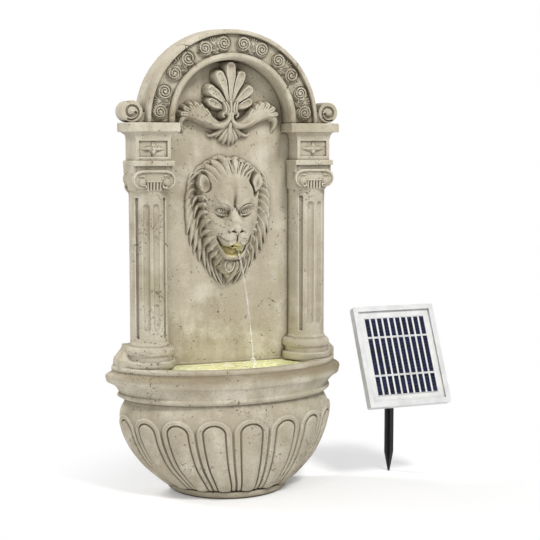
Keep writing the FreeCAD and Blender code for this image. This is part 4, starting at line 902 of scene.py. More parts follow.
def cove(z0, z1, run):
    """Hollow moulding that carries the cornice."""
    def f(X, P, Z):
        t = np.clip((Z - z0) / (z1 - z0), 0, 1)
        grow = run * (1 - np.sqrt(np.clip(1 - t * t, 0, 1)))
        a = np.abs(X - COL_X) - 30.5 - grow
        b = P - 68.5 - grow
        return np.maximum(np.maximum(a, b), np.maximum(z0 - Z, Z - z1))
    return (COL_X - 40, 0, z0), (COL_X + 40, 78, z1), f


def flower(c, x, z):
    """Four pointed leaves in a recess, the two level ones longer, and four short ones between them."""
    for i in range(4):
        a = math.radians(90 * i)
        long = 20.0 if i % 2 == 0 else 11.6
        mid = (x + 0.45 * long * math.cos(a), 64.6, z + 0.45 * long * math.sin(a))
        tip = (x + long * math.cos(a), 63.8, z + long * math.sin(a))
        c.add(tube([(x, 64.8, z), mid, tip], [2.4, 3.8, 0.7]), 0.6)
        a += math.radians(45)
        tip = (x + 9.0 * math.cos(a), 63.8, z + 7.5 * math.sin(a))
        c.add(tube([(x, 64.6, z), tip], [2.8, 1.0]), 0.6)
    c.add(ellipsoid((x, 66.0, z), (2.8, 2.2, 2.8)), 0.5)


def build_top_scroll():
    c = Clay((146.0, 11.0, 622.0), (194.5, 62.0, 665.0), 0.8)
    c.add(rod_p(TOP_X, TOP_Z, TOP_R, *TOP_P, 0.6), 0)
    c.add(block(150, 172, TOP_P[0], 54.0, 625, 644, 2.0), 4.0)
    c.cut(tube([(151.0, 0, 660.0), (151.0, 70, 660.0)], [9.5, 9.5]), 4.0)
    path = spiral_path(TOP_X + 0.5, TOP_Z - 1.0, 54.9, 13.6, 6.6, 1.3, 300, -1, 50)
    c.cut(tube(path, np.linspace(1.7, 2.7, len(path))), 0.3)
    c.add(ellipsoid((TOP_X + 0.5, 55.0, TOP_Z - 1.0), (4.6, 3.6, 4.6)), 0.6)
    return make_piece("right_top_scroll", *c.mesh(), "cast_stone"), "left_top_scroll", []


# Palmette crest: half grid, leaves and petals as root, bend, tip and half width, petals also with height
CREST = (92.0, (574.0, 731.0))
PETALS = (((8, 651), (21, 656), (33, 662), 7.2, 44.5), ((4, 655), (18, 669), (33.5, 682), 7.9, 46.5),
          ((2.5, 658), (10.5, 685), (19.0, 706), 8.3, 48.0), ((0, 658), (0, 692), (0, 721.0), 8.9, 49.5))
LEAF_LOBES = (((31, 633), (38, 641), (42, 647.5), 4.2), ((37, 637), (46, 646), (50, 654), 4.6),
              ((44, 640), (54, 649), (59.5, 657.5), 4.8), ((52, 642), (63, 649), (69.5, 656.5), 4.8),
              ((58, 643), (71, 647), (78.5, 651), 4.6), ((64, 641), (76, 641.5), (84, 642), 4.2))
HANGING = (((2, 622), (12, 616), (19, 609), (21, 603), 3.4),
           ((2, 620), (8, 610), (13, 601.5), (15, 596.5), 3.2),
           ((1, 618), (4.5, 606), (7, 598), (8, 592), 3.0))


def petal_section(v, s):
    """Spoon with a rounded rim that runs together into a stem."""
    a = np.abs(v)
    bowl = 2.6 * (1 - step_up(a, 0.12, 0.74)) * step_up(s, 0.30, 0.75)
    return -3.4 * step_up(a, 0.76, 1.0) - bowl + 0.6 * bump(a, 0.74, 0.14)


def leaf_section(v, s):
    return -2.4 * step_up(np.abs(v), 0.55, 1.0) - 1.1 * bump(v, 0, 0.24) * step_up(s, 0.3, 0.7)


def build_crest():
    half, (low, high) = CREST
    r = Relief((-half, low), (half, high), 0.6)
    r.p += 16.0 * np.exp(-((r.X / 15) ** 2 + ((r.Z - 652) / 17) ** 2) ** 2)
    crest_leaves(r)
    crest_petals(r)
    crest_scrolls(r)
    hanging_leaf(r)
    r.finish("crest", "palmette_crest", 6.0, 6.0)


def crest_leaves(r):
    """Two leaves that spring from the scrolls, with their lobes, tendrils and lower edges."""
    spine = [(8, 623.5), (22, 624), (36, 631), (49, 640), (62, 645), (74, 644), (80, 637)]
    wide = (3.0, 5.5, 8.5, 10.5, 10.5, 8.0, 5.0)
    r.pair(spine, wide, (40, 41, 42, 43, 43, 42, 39), curl(3.0), 1.5, 3.0)
    for *path, half in LEAF_LOBES:
        r.pair(path, (2.0, half, half * 0.9), (42, 43.6, 42.6), leaf_section, 0.5)
    tendril = [(77, 641), (84, 632), (84, 622), (79, 612)]
    r.pair(tendril, (3.6, 3.2, 2.4, 1.0), (41, 39, 35, 29), curl(2.0, 1))
    edge = [(4, 627), (12, 622.5), (24, 622.5), (38, 628), (50, 636)]
    r.pair(edge, (3.4, 3.6, 3.2, 2.4, 1.2), (44, 45.5, 45.5, 44, 42), curl(2.4))


def crest_petals(r):
    for *path, half, rise in PETALS:
        wide = (2.2, 3.4, 5.6, half, half)
        high = (rise - 5, rise - 3, rise - 1, rise, rise - 1.0)
        # The middle petal stands upright and is its own mirror image
        for _, line in both_sides(path)[:1 if path[-1][0] == 0 else 2]:
            r.stroke(line, wide, high, petal_section, 0.4)


def crest_scrolls(r):
    """Collar round the roots of the petals, and the two scrolls below it."""
    collar = [(8.0, 660.5), (5.4, 655), (4.6, 650), (5.4, 645.5), (8.5, 642)]
    for off in (0.0, 4.2):
        line = [(x + off, z) for x, z in collar]
        r.pair(line, (1.5, 1.8, 1.8, 1.8, 1.3), (46.5, 50, 50.5, 50, 46), curl(1.6), 0.3)
    r.stroke([(0, 662), (0, 650), (0, 642)], (2.4, 2.2, 2.4), (48.5, 49.5, 49), curl(1.4), 0.3)
    scroll = [(11.2, 637.6), (13.4, 640.4), (10.6, 644.6), (5.4, 644.6), (2.4, 639), (3.4, 631.5),
              (9.5, 625.4), (17, 623.2)]
    wide = (1.6, 1.9, 2.3, 2.6, 2.8, 3.0, 3.2)
    r.pair(scroll, wide, (45, 46.5, 48, 48.5, 48, 47, 46), curl(2.2), 0.3, count=34)


def hanging_leaf(r):
    for *path, half in HANGING:
        for s, line in both_sides(path):
            r.stroke(line, (2.0, half, half, 1.0), (41, 40, 37, 31), ridge(2.6, s * 0.3))
    tendril = [(10, 616), (20, 611), (29, 606.5), (35, 606.5), (38, 610)]
    r.pair(tendril, (1.6, 2.2, 2.0, 1.6, 0.8), (38, 36, 34, 32, 29), curl(1.4))
    middle = [(0, 626), (0, 612), (1, 600), (1.5, 590)]
    r.stroke(middle, (3.2, 4.2, 3.4, 0.9), (45, 43, 39, 31), leaf_section)


# Lion mask
FACE_X = np.array([0, 6, 12, 18, 24, 31, 38, 45, 52, 60, 70.0])
# Heights p over FACE_X, one row for each height z
FACE = (
    (578, 27, 27, 27, 26, 26, 25, 24, 24, 24, 24, 24), (566, 33, 33, 32, 32, 31, 28, 26, 25, 24, 24, 24),
    (552, 43, 43, 42, 41, 39, 36, 33, 30, 27, 25, 24), (538, 52, 53, 53, 51, 48, 44, 40, 36, 31, 27, 25),
    (524, 58, 60, 60, 59, 56, 52, 48, 43, 37, 31, 27), (508, 60, 63, 64, 63, 60, 56, 52, 47, 41, 34, 28),
    (496, 60, 64, 66, 66, 64, 60, 54, 48, 42, 35, 29), (490, 60, 64, 67, 67.5, 66, 62, 55, 48, 42, 35, 29),
    (484, 61, 64, 64, 61, 59, 57, 53, 47, 42, 35, 29), (478, 63, 64, 61, 55, 54, 54, 52, 47, 42, 35, 29),
    (470, 67, 67, 65, 58, 55, 55, 52, 47, 42, 35, 29), (462, 72, 72, 70, 62, 58, 56, 52, 47, 41, 34, 28),
    (456, 76, 76, 72, 66, 61, 57, 51, 46, 40, 34, 28), (451, 80, 79, 75, 69, 64, 58, 51, 45, 39, 33, 28),
    (446, 81, 80, 77, 73, 67, 58, 50, 44, 38, 32, 27), (440, 78, 79, 80, 77, 70, 60, 49, 42, 36, 31, 26),
    (433, 75, 78, 81, 79, 71, 59, 48, 41, 35, 30, 26), (427, 74, 76, 79, 75, 66, 55, 46, 39, 33, 28, 25),
    (418, 64, 63, 61, 57, 52, 47, 43, 38, 31, 27, 24), (408, 61, 60, 58, 54, 50, 46, 41, 36, 30, 26, 24),
    (400, 60, 59, 57, 52, 47, 43, 38, 33, 28, 25, 24), (392, 54, 53, 51, 47, 43, 39, 35, 30, 26, 24, 24),
    (382, 48, 47, 45, 42, 39, 35, 31, 27, 24, 24, 24), (371, 41, 40, 38, 36, 33, 30, 27, 24, 24, 24, 24),
    (360, 33, 32, 30, 28, 26, 25, 24, 24, 24, 24, 24), (350, 25, 25, 24, 24, 24, 24, 24, 24, 24, 24, 24))
# Half width of the mound under the mane
MANE_Z = (347, 356, 366, 378, 392, 404, 414, 424, 445, 467, 488, 513, 525, 538, 549, 555, 560, 566, 571)
MANE_X = (0, 1, 8, 17, 26, 33, 38, 42, 48, 52, 54, 56, 58, 56, 47, 38, 27, 13, 0)
# Painted shade on the lion's face, mostly on its left side: middle x, z, reach in x and z, strength
FACE_PAINTED_SHADE = (
    (-32, 486, 13, 34, 0.38), (-10, 470, 5, 15, 0.55), (-24, 522, 20, 13, 0.30), (-42, 446, 12, 24, 0.35),
    (12, 500, 8, 14, 0.15), (-8, 446, 6, 5, 0.25))
# Long locks that leave the cheek, sweep out and hang down, each with its half width
LONG_LOCKS = (
    ((46, 506), (56, 513), (66, 511), (72, 503), (74, 495), 5.6),
    ((46, 497), (57, 503), (67, 498), (72, 488), (74, 477), 6.2),
    ((45, 487), (57, 492), (67, 484), (71, 471), (73.5, 456), 6.6),
    ((44, 477), (55, 480), (64, 470), (69, 455), (73, 440), 6.6),
    ((42, 466), (52, 467), (60, 455), (64, 439), (67, 422), 6.6),
    ((38, 456), (47, 455), (54, 442), (57, 425), (61, 409), 6.4),
    ((34, 446), (42, 443), (48, 428), (50, 411), (51, 394), 6.0),
    ((30, 436), (37, 431), (41, 415), (42, 399), (40, 382), 5.6))
# Shorter strands that lie over the roots of the left ones
SHORT_LOCKS = (
    ((43, 497), (52, 503), (60.7, 498), (64.3, 486), 3.4),
    ((42, 486), (50, 490), (58, 482), (61.4, 468), 3.4),
    ((41, 475), (48, 477), (54, 466), (57, 451), 3.2),
    ((38, 464), (44, 463), (49, 450), (51, 434), 2.8))
# Short curls beside and behind the ears: path, half width, heights over the face and drop to the sides
EAR_CURLS = (
    ([(55, 540), (62.2, 541), (66.5, 535), (67.2, 527)], 4.0, (0.0, 3.5, 5.0, 4.0), 3.0),
    ([(57, 531), (64.3, 532), (68.6, 526), (69.4, 517)], 4.2, (0.0, 4.0, 6.0, 4.5), 3.0),
    ([(55, 521), (63.6, 524), (69.4, 518), (71.9, 506)], 4.4, (0.0, 4.5, 6.5, 5.0), 3.2))
BEARD_LOCKS = (
    ((27, 427), (32, 418), (36, 402), (34.5, 386), (30, 368), 5.2),
    ((23, 416), (28, 405), (29.5, 390), (26, 374), (19, 358), 5.0),
    ((17, 405), (21, 393), (21, 379), (17, 366), (10, 353), 4.6))
CHIN_LOCKS = (
    [(11, 398), (14, 388), (12, 375), (5, 361)], [(5, 398), (7, 386), (4, 372), (-3, 352)],
    [(-14, 393), (-18, 381), (-15, 368), (-12, 355)])
# Locks that rise from the crease of the brow, bend outwards and end rounded at the outline
CROWN_LEFT = (
    ((-26, 518), (-31, 531), (-41, 540), (-52, 541), (-63, 533), 6.4),
    ((-17, 520), (-24, 536), (-35, 547), (-48, 549), (-58, 543), 7.6),
    ((-8, 523), (-15, 542), (-25, 554), (-37, 556), (-46, 551), 7.8),
    ((-1, 528), (-6, 548), (-12, 562), (-22, 564), (-30, 559), 7.4))
CROWN_RIGHT = (
    ((26, 528), (35, 538), (46, 543), (55, 541), (62, 534), 4.6),
    ((20, 530), (29, 542), (39, 548), (48, 547), (55, 542), 4.8),
    ((14, 531), (22, 545), (30, 553), (38, 555), (44, 551), 5.2),
    ((9, 531), (14, 547), (20, 558), (27, 561), (33, 558), 5.4),
    ((5, 531), (7, 548), (10, 561), (15, 566), (20, 564), 5.4))
CROWN_CUTS = (
    [(6, 540), (5.0, 552), (3.5, 563)], [(11, 541), (15.5, 553), (19, 560)],
    [(17, 540), (24, 550), (30, 556)], [(23, 538), (32, 546), (41, 551)], [(1, 540), (-1, 553), (-4, 563)])


def face_heights(r):
    rows = np.array(FACE)[::-1]
    x = r.X[0]
    at_x = np.stack([np.interp(np.abs(x), FACE_X, row[1:]) for row in rows])
    h = np.stack([np.interp(r.Z[:, 0], rows[:, 0], at_x[:, i]) for i in range(len(x))], axis=1)
    reach = int(3.4 / r.step)
    h = soften(soften(h, reach).T, reach).T
    edge = np.interp(r.Z, MANE_Z, MANE_X) - np.abs(r.X)
    return GROUND_P + (h - GROUND_P) * step_up(edge, -2.0, 6.0)


def build_lion():
    r = Relief((-84.0, 342.0), (84.0, 578.0), 0.62)
    r.p = np.maximum(face_heights(r), GROUND_P)
    brow(r)
    r.keep_base()
    mane(r)
    beard(r)
    crown(r)
    for s in (-1, 1):
        ear(r, s)
    mouth(r)
    nose(r)
    for s in (-1, 1):
        eye(r, s)
    # Painted shade on the lion's face: stronger on its left, and at the listed spots
    r.finish("lion", "lion_mask", 9.0, 7.0, 1.5, FACE_PAINTED_SHADE)


def brow(r):
    for s, path in both_sides([(3, 485.0), (9, 488.5), (18, 493.5), (28, 498), (37, 498)]):
        r.keep_base()
        wide = (3.4, 5.0, 5.8, 5.0, 3.0)
        r.stroke(path, wide, (1.2, 3.6, 4.2, 2.6, 0.2), curl(2.8), 2.0, 1.4, over=True)
    for s in (-1, 1):
        # Forehead, cheek and lip stand out, the hollows beside the nose lie deeper
        r.dab(s * 15 + 1, 509, 13, 13, 2.4)
        r.dab(s * 35, 465, 9, 11, 2.4)
        r.dab(s * 14.0, 435, 10, 7, 1.2)
        r.dab(s * 29.0, 455, 6, 9, -1.6)
        r.dab(s * 16.0, 467, 5.5, 9, -4.5)
    # Crease of the forehead and the folds over the nose
    r.carve([(3.6, 543), (3.4, 524), (2.6, 506), (1.6, 494)], (5.0, 5.0, 4.6, 3.0), (1.8, 1.8, 1.8, 2.0))
    r.carve([(2.8, 530), (2.4, 505), (0.8, 485)], (1.4, 1.6, 1.7), (0.3, 0.8, 2.4))
    r.carve([(1.5, 488), (5.0, 480), (8.0, 471)], (1.6, 1.8, 1.3), (2.4, 2.6, 0.6))
    r.carve([(0, 487), (-3.6, 481), (-5.5, 475)], (1.4, 1.4, 1.0), (1.2, 1.2, 0.3))


def ring(x, z, radius):
    return [(x + radius * math.cos(a), z + radius * math.sin(a)) for a in np.linspace(0, 2 * math.pi, 13)]


def sided(s, *points):
    """Points of the right side, or their mirror images."""
    return [(s * x, z) for x, z in points]


def eye(r, s):
    r.dab(s * 21.0, 480.5, 12.0, 6.0, -3.0)
    r.dab(s * 10.0, 476.0, 3.2, 6.0, -3.6)
    r.ball(s * 20.8, 480.6, 10.0, 6.6, 52.0, 60.6)
    iris = (s * 20.2, 481.0)
    r.carve(ring(*iris, 3.7), (0.9, 0.9), (1.7, 1.7), 26)
    r.dab(*iris, 1.5, 1.5, -3.0)
    lid = sided(s, (8.5, 477.0), (12.5, 483.6), (19.5, 488.0), (28, 488.4), (34.5, 484.0))
    r.stroke(lid, (1.0, 1.5, 1.7, 1.5, 0.8), (57.0, 62.0, 63.4, 61, 55), curl(1.3), 0.3)
    fold = sided(s, (10, 484.0), (13, 488.0), (20, 491.6), (29, 492), (37, 488))
    r.carve(fold, (1.2, 1.8, 1.8, 1.4), (2.0, 2.8, 2.6, 1.2) if s > 0 else (1.6, 2.0, 1.0, 0.2))
    low = sided(s, (9.5, 475.4), (14.5, 473.6), (21.5, 473.4), (28.5, 476.0), (33.5, 481.4))
    r.stroke(low, (0.8, 1.1, 1.3, 1.1, 0.8), (55.5, 58.0, 58.4, 57.0, 53.5), curl(1.2), 0.3)
    bag = sided(s, (11.5, 470.6), (20, 469.4), (29, 472.0), (34, 477))
    r.carve(bag, (1.2, 1.5, 1.3, 0.8), (0.8, 1.8, 1.4, 0.5))
    r.carve(sided(s, (7.8, 480.5), (9.8, 474.5), (13.0, 467.0)), (1.8, 2.6, 1.8), (2.4, 3.6, 1.2))


def nose(r):
    top = [(-9.5, 451.0), (-5, 453.6), (0, 454.2), (5, 453.6), (9.5, 451.0)]
    r.stroke(top, (3.0, 3.6, 3.8, 3.6, 3.0), (79, 82, 83, 82, 79), curl(1.8), 1.6, 2.0)
    r.stroke([(0, 452), (0, 443.5)], (5.4, 3.2), (83.8, 82.5), curl(1.8), 1.2, 2.4)
    for s in (-1, 1):
        wing = sided(s, (7.6, 451.2), (11.4, 448.4), (10.2, 445.2))
        r.stroke(wing, (2.2, 2.8, 1.8), (80.5, 80.5, 78), curl(1.6), 1.0, 2.4)
        r.carve(sided(s, (3.6, 445.0), (6.6, 446.0), (9.6, 446.6)), (1.5, 2.1, 1.5), (4.0, 5.5, 2.5))
        r.carve(sided(s, (13.2, 453.0), (15.0, 447.5), (13.0, 442.5)), (1.5, 1.7, 1.3), (1.0, 2.4, 1.2))
        for i in range(3):
            line = sided(s, (9, 438.5 - 3.4 * i), (15, 438.2 - 3.9 * i), (21, 438.6 - 4.1 * i))
            r.carve(line, (0.8, 0.9, 0.6), (0.5, 1.1, 0.4))
    r.carve([(0, 443.0), (0, 437), (0, 430)], (1.4, 1.5, 1.7), (2.4, 2.8, 3.4))


def mouth(r):
    ax = np.abs(r.X)
    corner = np.clip((ax - 15) / 13, 0, 1) * 10.0
    upper = 429.0 + corner - 2.6 * bump(ax, 12.5, 6.5) + 2.0 * bump(ax, 0, 4.0)
    lower = 403.4 + np.clip(ax - 14.5, 0, 40) * 1.75
    inside = np.minimum(np.minimum(upper - r.Z, r.Z - lower), 31.0 - ax)
    tongue = 6.0 * r.spot(0.0, 408.0, 12.0, 4.5)
    hollow = 43.0 + tongue + 5.0 * step_up(ax, 9, 27)
    w = step_up(inside, -0.2, 1.3)
    r.p = r.p * (1 - w) + hollow * w
    lip = [(0.0, 400.8), (8.0, 401.2), (14.6, 403.6), (20.5, 412.6), (26.0, 423.6), (30.6, 435.4)]
    top = [(0.0, 430.6), (6, 427.9), (12.5, 425.8), (20.0, 430.4), (29.4, 438.6)]
    for s in (-1, 1):
        wide = (2.6, 2.7, 2.6, 1.9, 1.7, 1.5)
        r.stroke(sided(s, *lip), wide, (63.4, 63.0, 61.4, 58.6, 56.0, 53.5), curl(2.0), 0.5)
        r.stroke(sided(s, *top), (1.3, 1.7, 2.0, 1.6, 1.2), (75, 78.5, 80, 73, 58), curl(1.4), 0.8)
    fang = [(14.8, 427.5), (14.6, 420.5), (14.0, 412.0)]
    r.stroke(fang, (3.2, 2.8, 1.0), (66, 65, 61), curl(1.8), 0.3)
    for i in range(-2, 3):
        r.ball(i * 4.4, 426.6, 2.1, 2.4, 58.0, 61.0)
    r.carve([(-14, 396.2), (0, 394.4), (14, 396.2)], (1.8, 2.4, 1.8), (1.4, 2.6, 1.4))


def ear(r, s):
    """Ear in a trench of the mane: on the left a bowl open to the front, on the right a leaf turned out."""
    x, z = s * 47.5 + 0.5, 525.5
    lean = math.radians(-13 * s)
    u = s * ((r.X - x) * math.cos(lean) + (r.Z - z) * math.sin(lean))
    v = -(r.X - x) * math.sin(lean) + (r.Z - z) * math.cos(lean)
    taper = 10.0 - 0.10 * v if s < 0 else 10.2 - 5.5 * step_up(-v, -2, 15)
    q = np.hypot(u / taper, v / 15.2)
    open_side = step_up(-u, -9, 3) if s > 0 else step_up(u + v * 0.7, -4, 9)
    trench = step_up(q, 1.75, 1.2) * open_side
    r.p = np.maximum(r.p * (1 - trench) + np.minimum(r.p, 34.0) * trench, GROUND_P)
    if s > 0:
        h = 49.0 - 3.6 * step_up(u, -6, 8) - 3.0 * np.exp(-((u - 0.5) / 2.2) ** 2 - ((v + 1) / 9.0) ** 2)
    else:
        bowl = 5.5 * np.exp(-((u + 3.0) / 6.0) ** 2 - ((v + 3.5) / 8.5) ** 2)
        h = 47.5 - bowl - 1.5 * np.clip(1 - q * q, 0, 1) + 0.10 * u
    h = h - 3.0 * step_up(q, 0.84, 1.04)
    w = step_up(q, 1.10, 0.99)
    r.p = r.p * (1 - w) + np.maximum(h, GROUND_P) * w


def hair(r, path, half, lift, s, drop=4.6):
    wide = (half * 0.45, half * 0.85, half, half * 0.92, half * 0.6, 0.6)
    r.stroke(path, wide, lift, ridge(drop, s * 0.4), 0.35, 5.0, over=True)


def mane(r):
    for path, half, lift, drop in EAR_CURLS:
        for s, line in both_sides(path):
            hair(r, line, half, lift, s, drop)
    for *path, half in LONG_LOCKS:
        for s, line in both_sides(path):
            hair(r, line, half, (-0.5, 3.5, 7.0, 9.5, 9.0, 6.0), s)
    for *path, half in SHORT_LOCKS:
        hair(r, sided(-1, *path), half, (0.2, 5.5, 10.0, 12.0, 11.0, 8.0), -1, 3.0)


def beard(r):
    for *path, half in BEARD_LOCKS:
        for s, line in both_sides(path):
            hair(r, line, half, (0.5, 4.0, 6.5, 8.0, 8.0, 6.0), s)
    for path in CHIN_LOCKS:
        hair(r, path, 4.0, (1.0, 4.5, 6.5, 8.0, 7.5, 6.0), 1, 3.6)
    # Leaf-like tuft under the lip
    leaf = [(2, 398), (-7, 397.5), (-13, 391), (-13.5, 383), (-8, 376.5), (-1.5, 379), (2.5, 388), (2, 398)]
    high = (57.0, 56.0, 54.5, 54.5, 57.0)
    r.stroke(leaf, (1.3, 1.5, 1.5, 1.5, 1.3), high, ridge(1.6), 0.5, count=30)
    r.ball(-5.6, 387.5, 7.6, 10.6, 50.0, 54.0)


def crown(r):
    looks = ((CROWN_LEFT, (-1.5, 2.4, 5.5, 9.0, 8.5, 5.0), ridge(4.6, -0.5), 0.5, 4.0),
             (CROWN_RIGHT, (-1.0, 3.2, 6.5, 9.5, 8.5, 5.0), curl(5.2, tilt=-1.0), 0.3, 6.0))
    for locks, lift, section, k, steep in looks:
        for *path, half in locks:
            wide = (0.8, half * 0.6, half, half * 1.05, half * 0.8, half * 0.4)
            r.stroke(path, wide, lift, section, k, steep, over=True)
    for path in CROWN_CUTS:
        r.carve(path, (0.8, 1.7, 2.0), (0.8, 3.0, 3.4))


# Water
def jet_point(t):
    """Middle of the jet, from the spout (t = 0) to the surface (t = 1)."""
    return np.array([2.0 + 22.0 * t, 53.0 + 38.0 * t, 419.5 - 203.0 * t * t])


# Place where the jet meets the water, and number of drops thrown up there
LAND = jet_point(1.0)[:2]
DROPS = 46


def build_water():
    build_surface()
    build_jet()
    build_splash()


def build_surface():
    reach = pool_reach(RING, WATER_Z, 0.4)
    part = np.linspace(1.0, 0.004, 120)
    grid = polar_sheet([(reach * s, WATER_Z) for s in part])
    x, p = grid[:, :, 0], grid[:, :, 1]
    r = np.hypot(x - LAND[0], p - LAND[1])
    swell = 0.9 * np.cos(r * 0.42) * np.exp(-r / 40.0)
    chop = 0.28 * np.sin(x * 0.16 + np.sin(p * 0.13) * 1.6) * np.sin(p * 0.21 + 0.6 + np.sin(x * 0.07))
    calm_edge = np.minimum(1.0, (1 - part) * 12 + 0.2)
    grid[:, :, 2] += (swell + chop) * calm_edge[:, None]
    make_sheet("water_surface", grid, "lens", outward=True, close_cols=True)


def build_jet():
    a = np.linspace(0, 2 * math.pi, 14, endpoint=False)
    rows = []
    for v in np.linspace(0, 1, 90):
        x, p, z = jet_point(v)
        r = 1.7 - 0.5 * v + 0.35 * np.sin(v * 61 + a * 2) * v + 0.25 * np.sin(v * 133 + a) * v
        rows.append(np.stack([x + r * np.cos(a), p + r * np.sin(a), z + 0 * a], axis=-1))
    make_sheet("water_jet", np.stack(rows), "lens", close_cols=True)


def build_splash():
    c = Clay((LAND[0] - 22, LAND[1] - 20, 212.0), (LAND[0] + 22, LAND[1] + 20, 262.0), 0.7)
    for _ in range(DROPS):
        a = dice.uniform(0, 2 * math.pi)
        r = abs(dice.normal(0, 6.0)) + 2
        h = dice.uniform(0, 1) ** 2 * 22 * math.exp(-r / 14)
        size = dice.uniform(0.8, 2.0)
        middle = (LAND[0] + r * math.cos(a), LAND[1] + r * math.sin(a), WATER_Z + h)
        c.add(ellipsoid(middle, (size, size, size * 1.3)), 1.0)
    make_piece("water_splash", *c.mesh(), "lens")


# Edge of the castings round the rear cover: height z and half width, from the deck up
COLUMN_SIDE = (
    (222, 197.6), (231.6, 197.6), (232, 186), (243.6, 186), (244, 182), (256, 182), (257, 167), (509, 167),
    (518, 174.5), (523, 174.2), (549, 174.2), (553.4, 176.6), (564.6, 176.6), (565, 171.8), (606, 171.8),
    (610, 178), (613.8, 185.8), (626.8, 185.8), (627.2, 155.8))
# Outer radius of the arch
ARCH_R = 155.4
# Cover: half width, lower and upper end, then half width of its neck and radius of its top
COVER_X = 156.2
COVER_Z = (63.8, 556.0)
NECK_X = 108.2
COVER_R = 147.2
# Hanging plates: middle, half width and half height of their pockets
HANGER = (140, 584)
POCKET = (18.1, 11.1)
POCKET_P = 2.1
# Rear and front of the edge
EDGE_P = (0.05, 4.2)


def build_back_edge():
    c = Clay((-214.0, -1.0, -2.0), (214.0, 5.5, 789.0), 1.5)
    rows = np.vstack([FOOT[:6], BODY, RIM])
    z, a, b, pc = rows[np.argsort(rows[:, 0])].T
    half = a * np.sqrt(np.clip(1 - (pc / b) ** 2, 0, 1))
    level = c.axes[2]
    side_z, side_x = np.array(COLUMN_SIDE).T
    width = np.where(level < DECK_Z, np.interp(level, z, half), np.interp(level, side_z, side_x)) - 0.4
    arch = np.sqrt(np.clip(ARCH_R ** 2 - np.maximum(level - ARCH_Z, 0) ** 2, 0, None))
    width = np.where(level > side_z[-1] - 0.2, arch, width)
    X = c.axes[0][:, None, None]
    P = c.axes[1][None, :, None]
    Z = level[None, None, :]
    ends = np.maximum(0.2 - Z, Z - (ARCH_Z + ARCH_R - 0.2))
    side = np.maximum(np.abs(X) - width[None, None, :], ends)
    cover_low = np.maximum(np.abs(X) - COVER_X, np.maximum(COVER_Z[0] - Z, Z - (COVER_Z[1] + 0.2)))
    neck = np.maximum(np.abs(X) - NECK_X, np.maximum(COVER_Z[1] - Z, Z - ARCH_Z))
    dome = np.maximum(np.hypot(X, Z - ARCH_Z) - COVER_R, ARCH_Z - Z)
    cover = np.minimum(np.minimum(cover_low, neck), dome)
    faces = np.maximum(EDGE_P[0] - P, P - EDGE_P[1])
    c.d = np.maximum(np.maximum(side, -cover), faces).astype(np.float32)
    for s in (-1, 1):
        x, z = s * HANGER[0], HANGER[1]
        low, high, f = block(x - POCKET[0], x + POCKET[0], -1, POCKET_P, z - POCKET[1], z + POCKET[1], 0.0)
        parts, grids = c.window(low, high, 4)
        c.d[parts] = np.maximum(c.d[parts], -f(*grids))
    make_piece("casting_back_edge", *c.mesh(), STONE)


# Materials
class Nodes:
    """Short way to lay out a material's nodes."""

    def __init__(self, name):
        self.mat = bpy.data.materials.new(name)
        self.mat.use_nodes = True
        self.tree = self.mat.node_tree
        self.tree.nodes.clear()
        self.out = self.tree.nodes.new("ShaderNodeOutputMaterial")
        self.place = self.tree.nodes.new("ShaderNodeTexCoord").outputs["Object"]

    def node(self, kind, links=None, **props):
        n = self.tree.nodes.new("ShaderNode" + kind)
        for key, value in props.items():
            setattr(n, key, value)
        for key, value in (links or {}).items():
            self.put(n.inputs[key], value)
        return n

    def put(self, socket, value):
        if isinstance(value, bpy.types.NodeSocket):
            self.tree.links.new(value, socket)
        else:
            socket.default_value = value

    def noise(self, scale, detail=4.0, rough=0.55, stretch=None, distort=0.0):
        vector = self.place
        if stretch:
            vector = self.node("Mapping", {"Vector": vector, "Scale": stretch}).outputs[0]
        links = {"Vector": vector, "Scale": scale, "Detail": detail, "Roughness": rough}
        return self.node("TexNoise", {**links, "Distortion": distort}).outputs["Fac"]

    def ramp(self, value, low, high, a=0.0, b=1.0):
        links = {"Value": value, "From Min": low, "From Max": high, "To Min": a, "To Max": b}
        return self.node("MapRange", links, interpolation_type="SMOOTHSTEP").outputs[0]

    def math(self, op, a, b=0.0):
        n = self.node("Math", operation=op)
        self.put(n.inputs[0], a)
        self.put(n.inputs[1], b)
        return n.outputs[0]

    def times(self, a, b):
        return self.math("MULTIPLY", a, b)

    def mix(self, fac, a, b):
        return self.node("Mix", {0: fac, 6: a, 7: b}, data_type="RGBA").outputs[2]

    def tint(self, under, over, value, low, high, a=0.0, b=1.0):
        """Colour that turns into another as the value goes from low to high."""
        return self.mix(self.ramp(value, low, high, a, b), under, over)

    def height(self, value, strength, distance, normal=None):
        links = {"Height": value, "Strength": strength, "Distance": distance}
        if normal is not None:
            links["Normal"] = normal
        return self.node("Bump", links).outputs[0]

    def shader(self, **inputs):
        n = self.node("BsdfPrincipled", {key.replace("_", " "): value for key, value in inputs.items()})
        self.show(n)

    def between(self, fac, a, b):
        """Shader between two others."""
        return self.node("MixShader", {0: fac, 1: a.outputs[0], 2: b.outputs[0]})

    def show(self, n):
        self.put(self.out.inputs["Surface"], n.outputs[0])


def rgb(r, g, b):
    """Colour from 0-255 screen values."""
    def one(v):
        v = v / 255
        return v / 12.92 if v <= 0.04045 else ((v + 0.055) / 1.055) ** 2.4
    return (one(r), one(g), one(b), 1.0)


def darker(colour, part):
    return tuple(v * part for v in colour[:3]) + (1.0,)


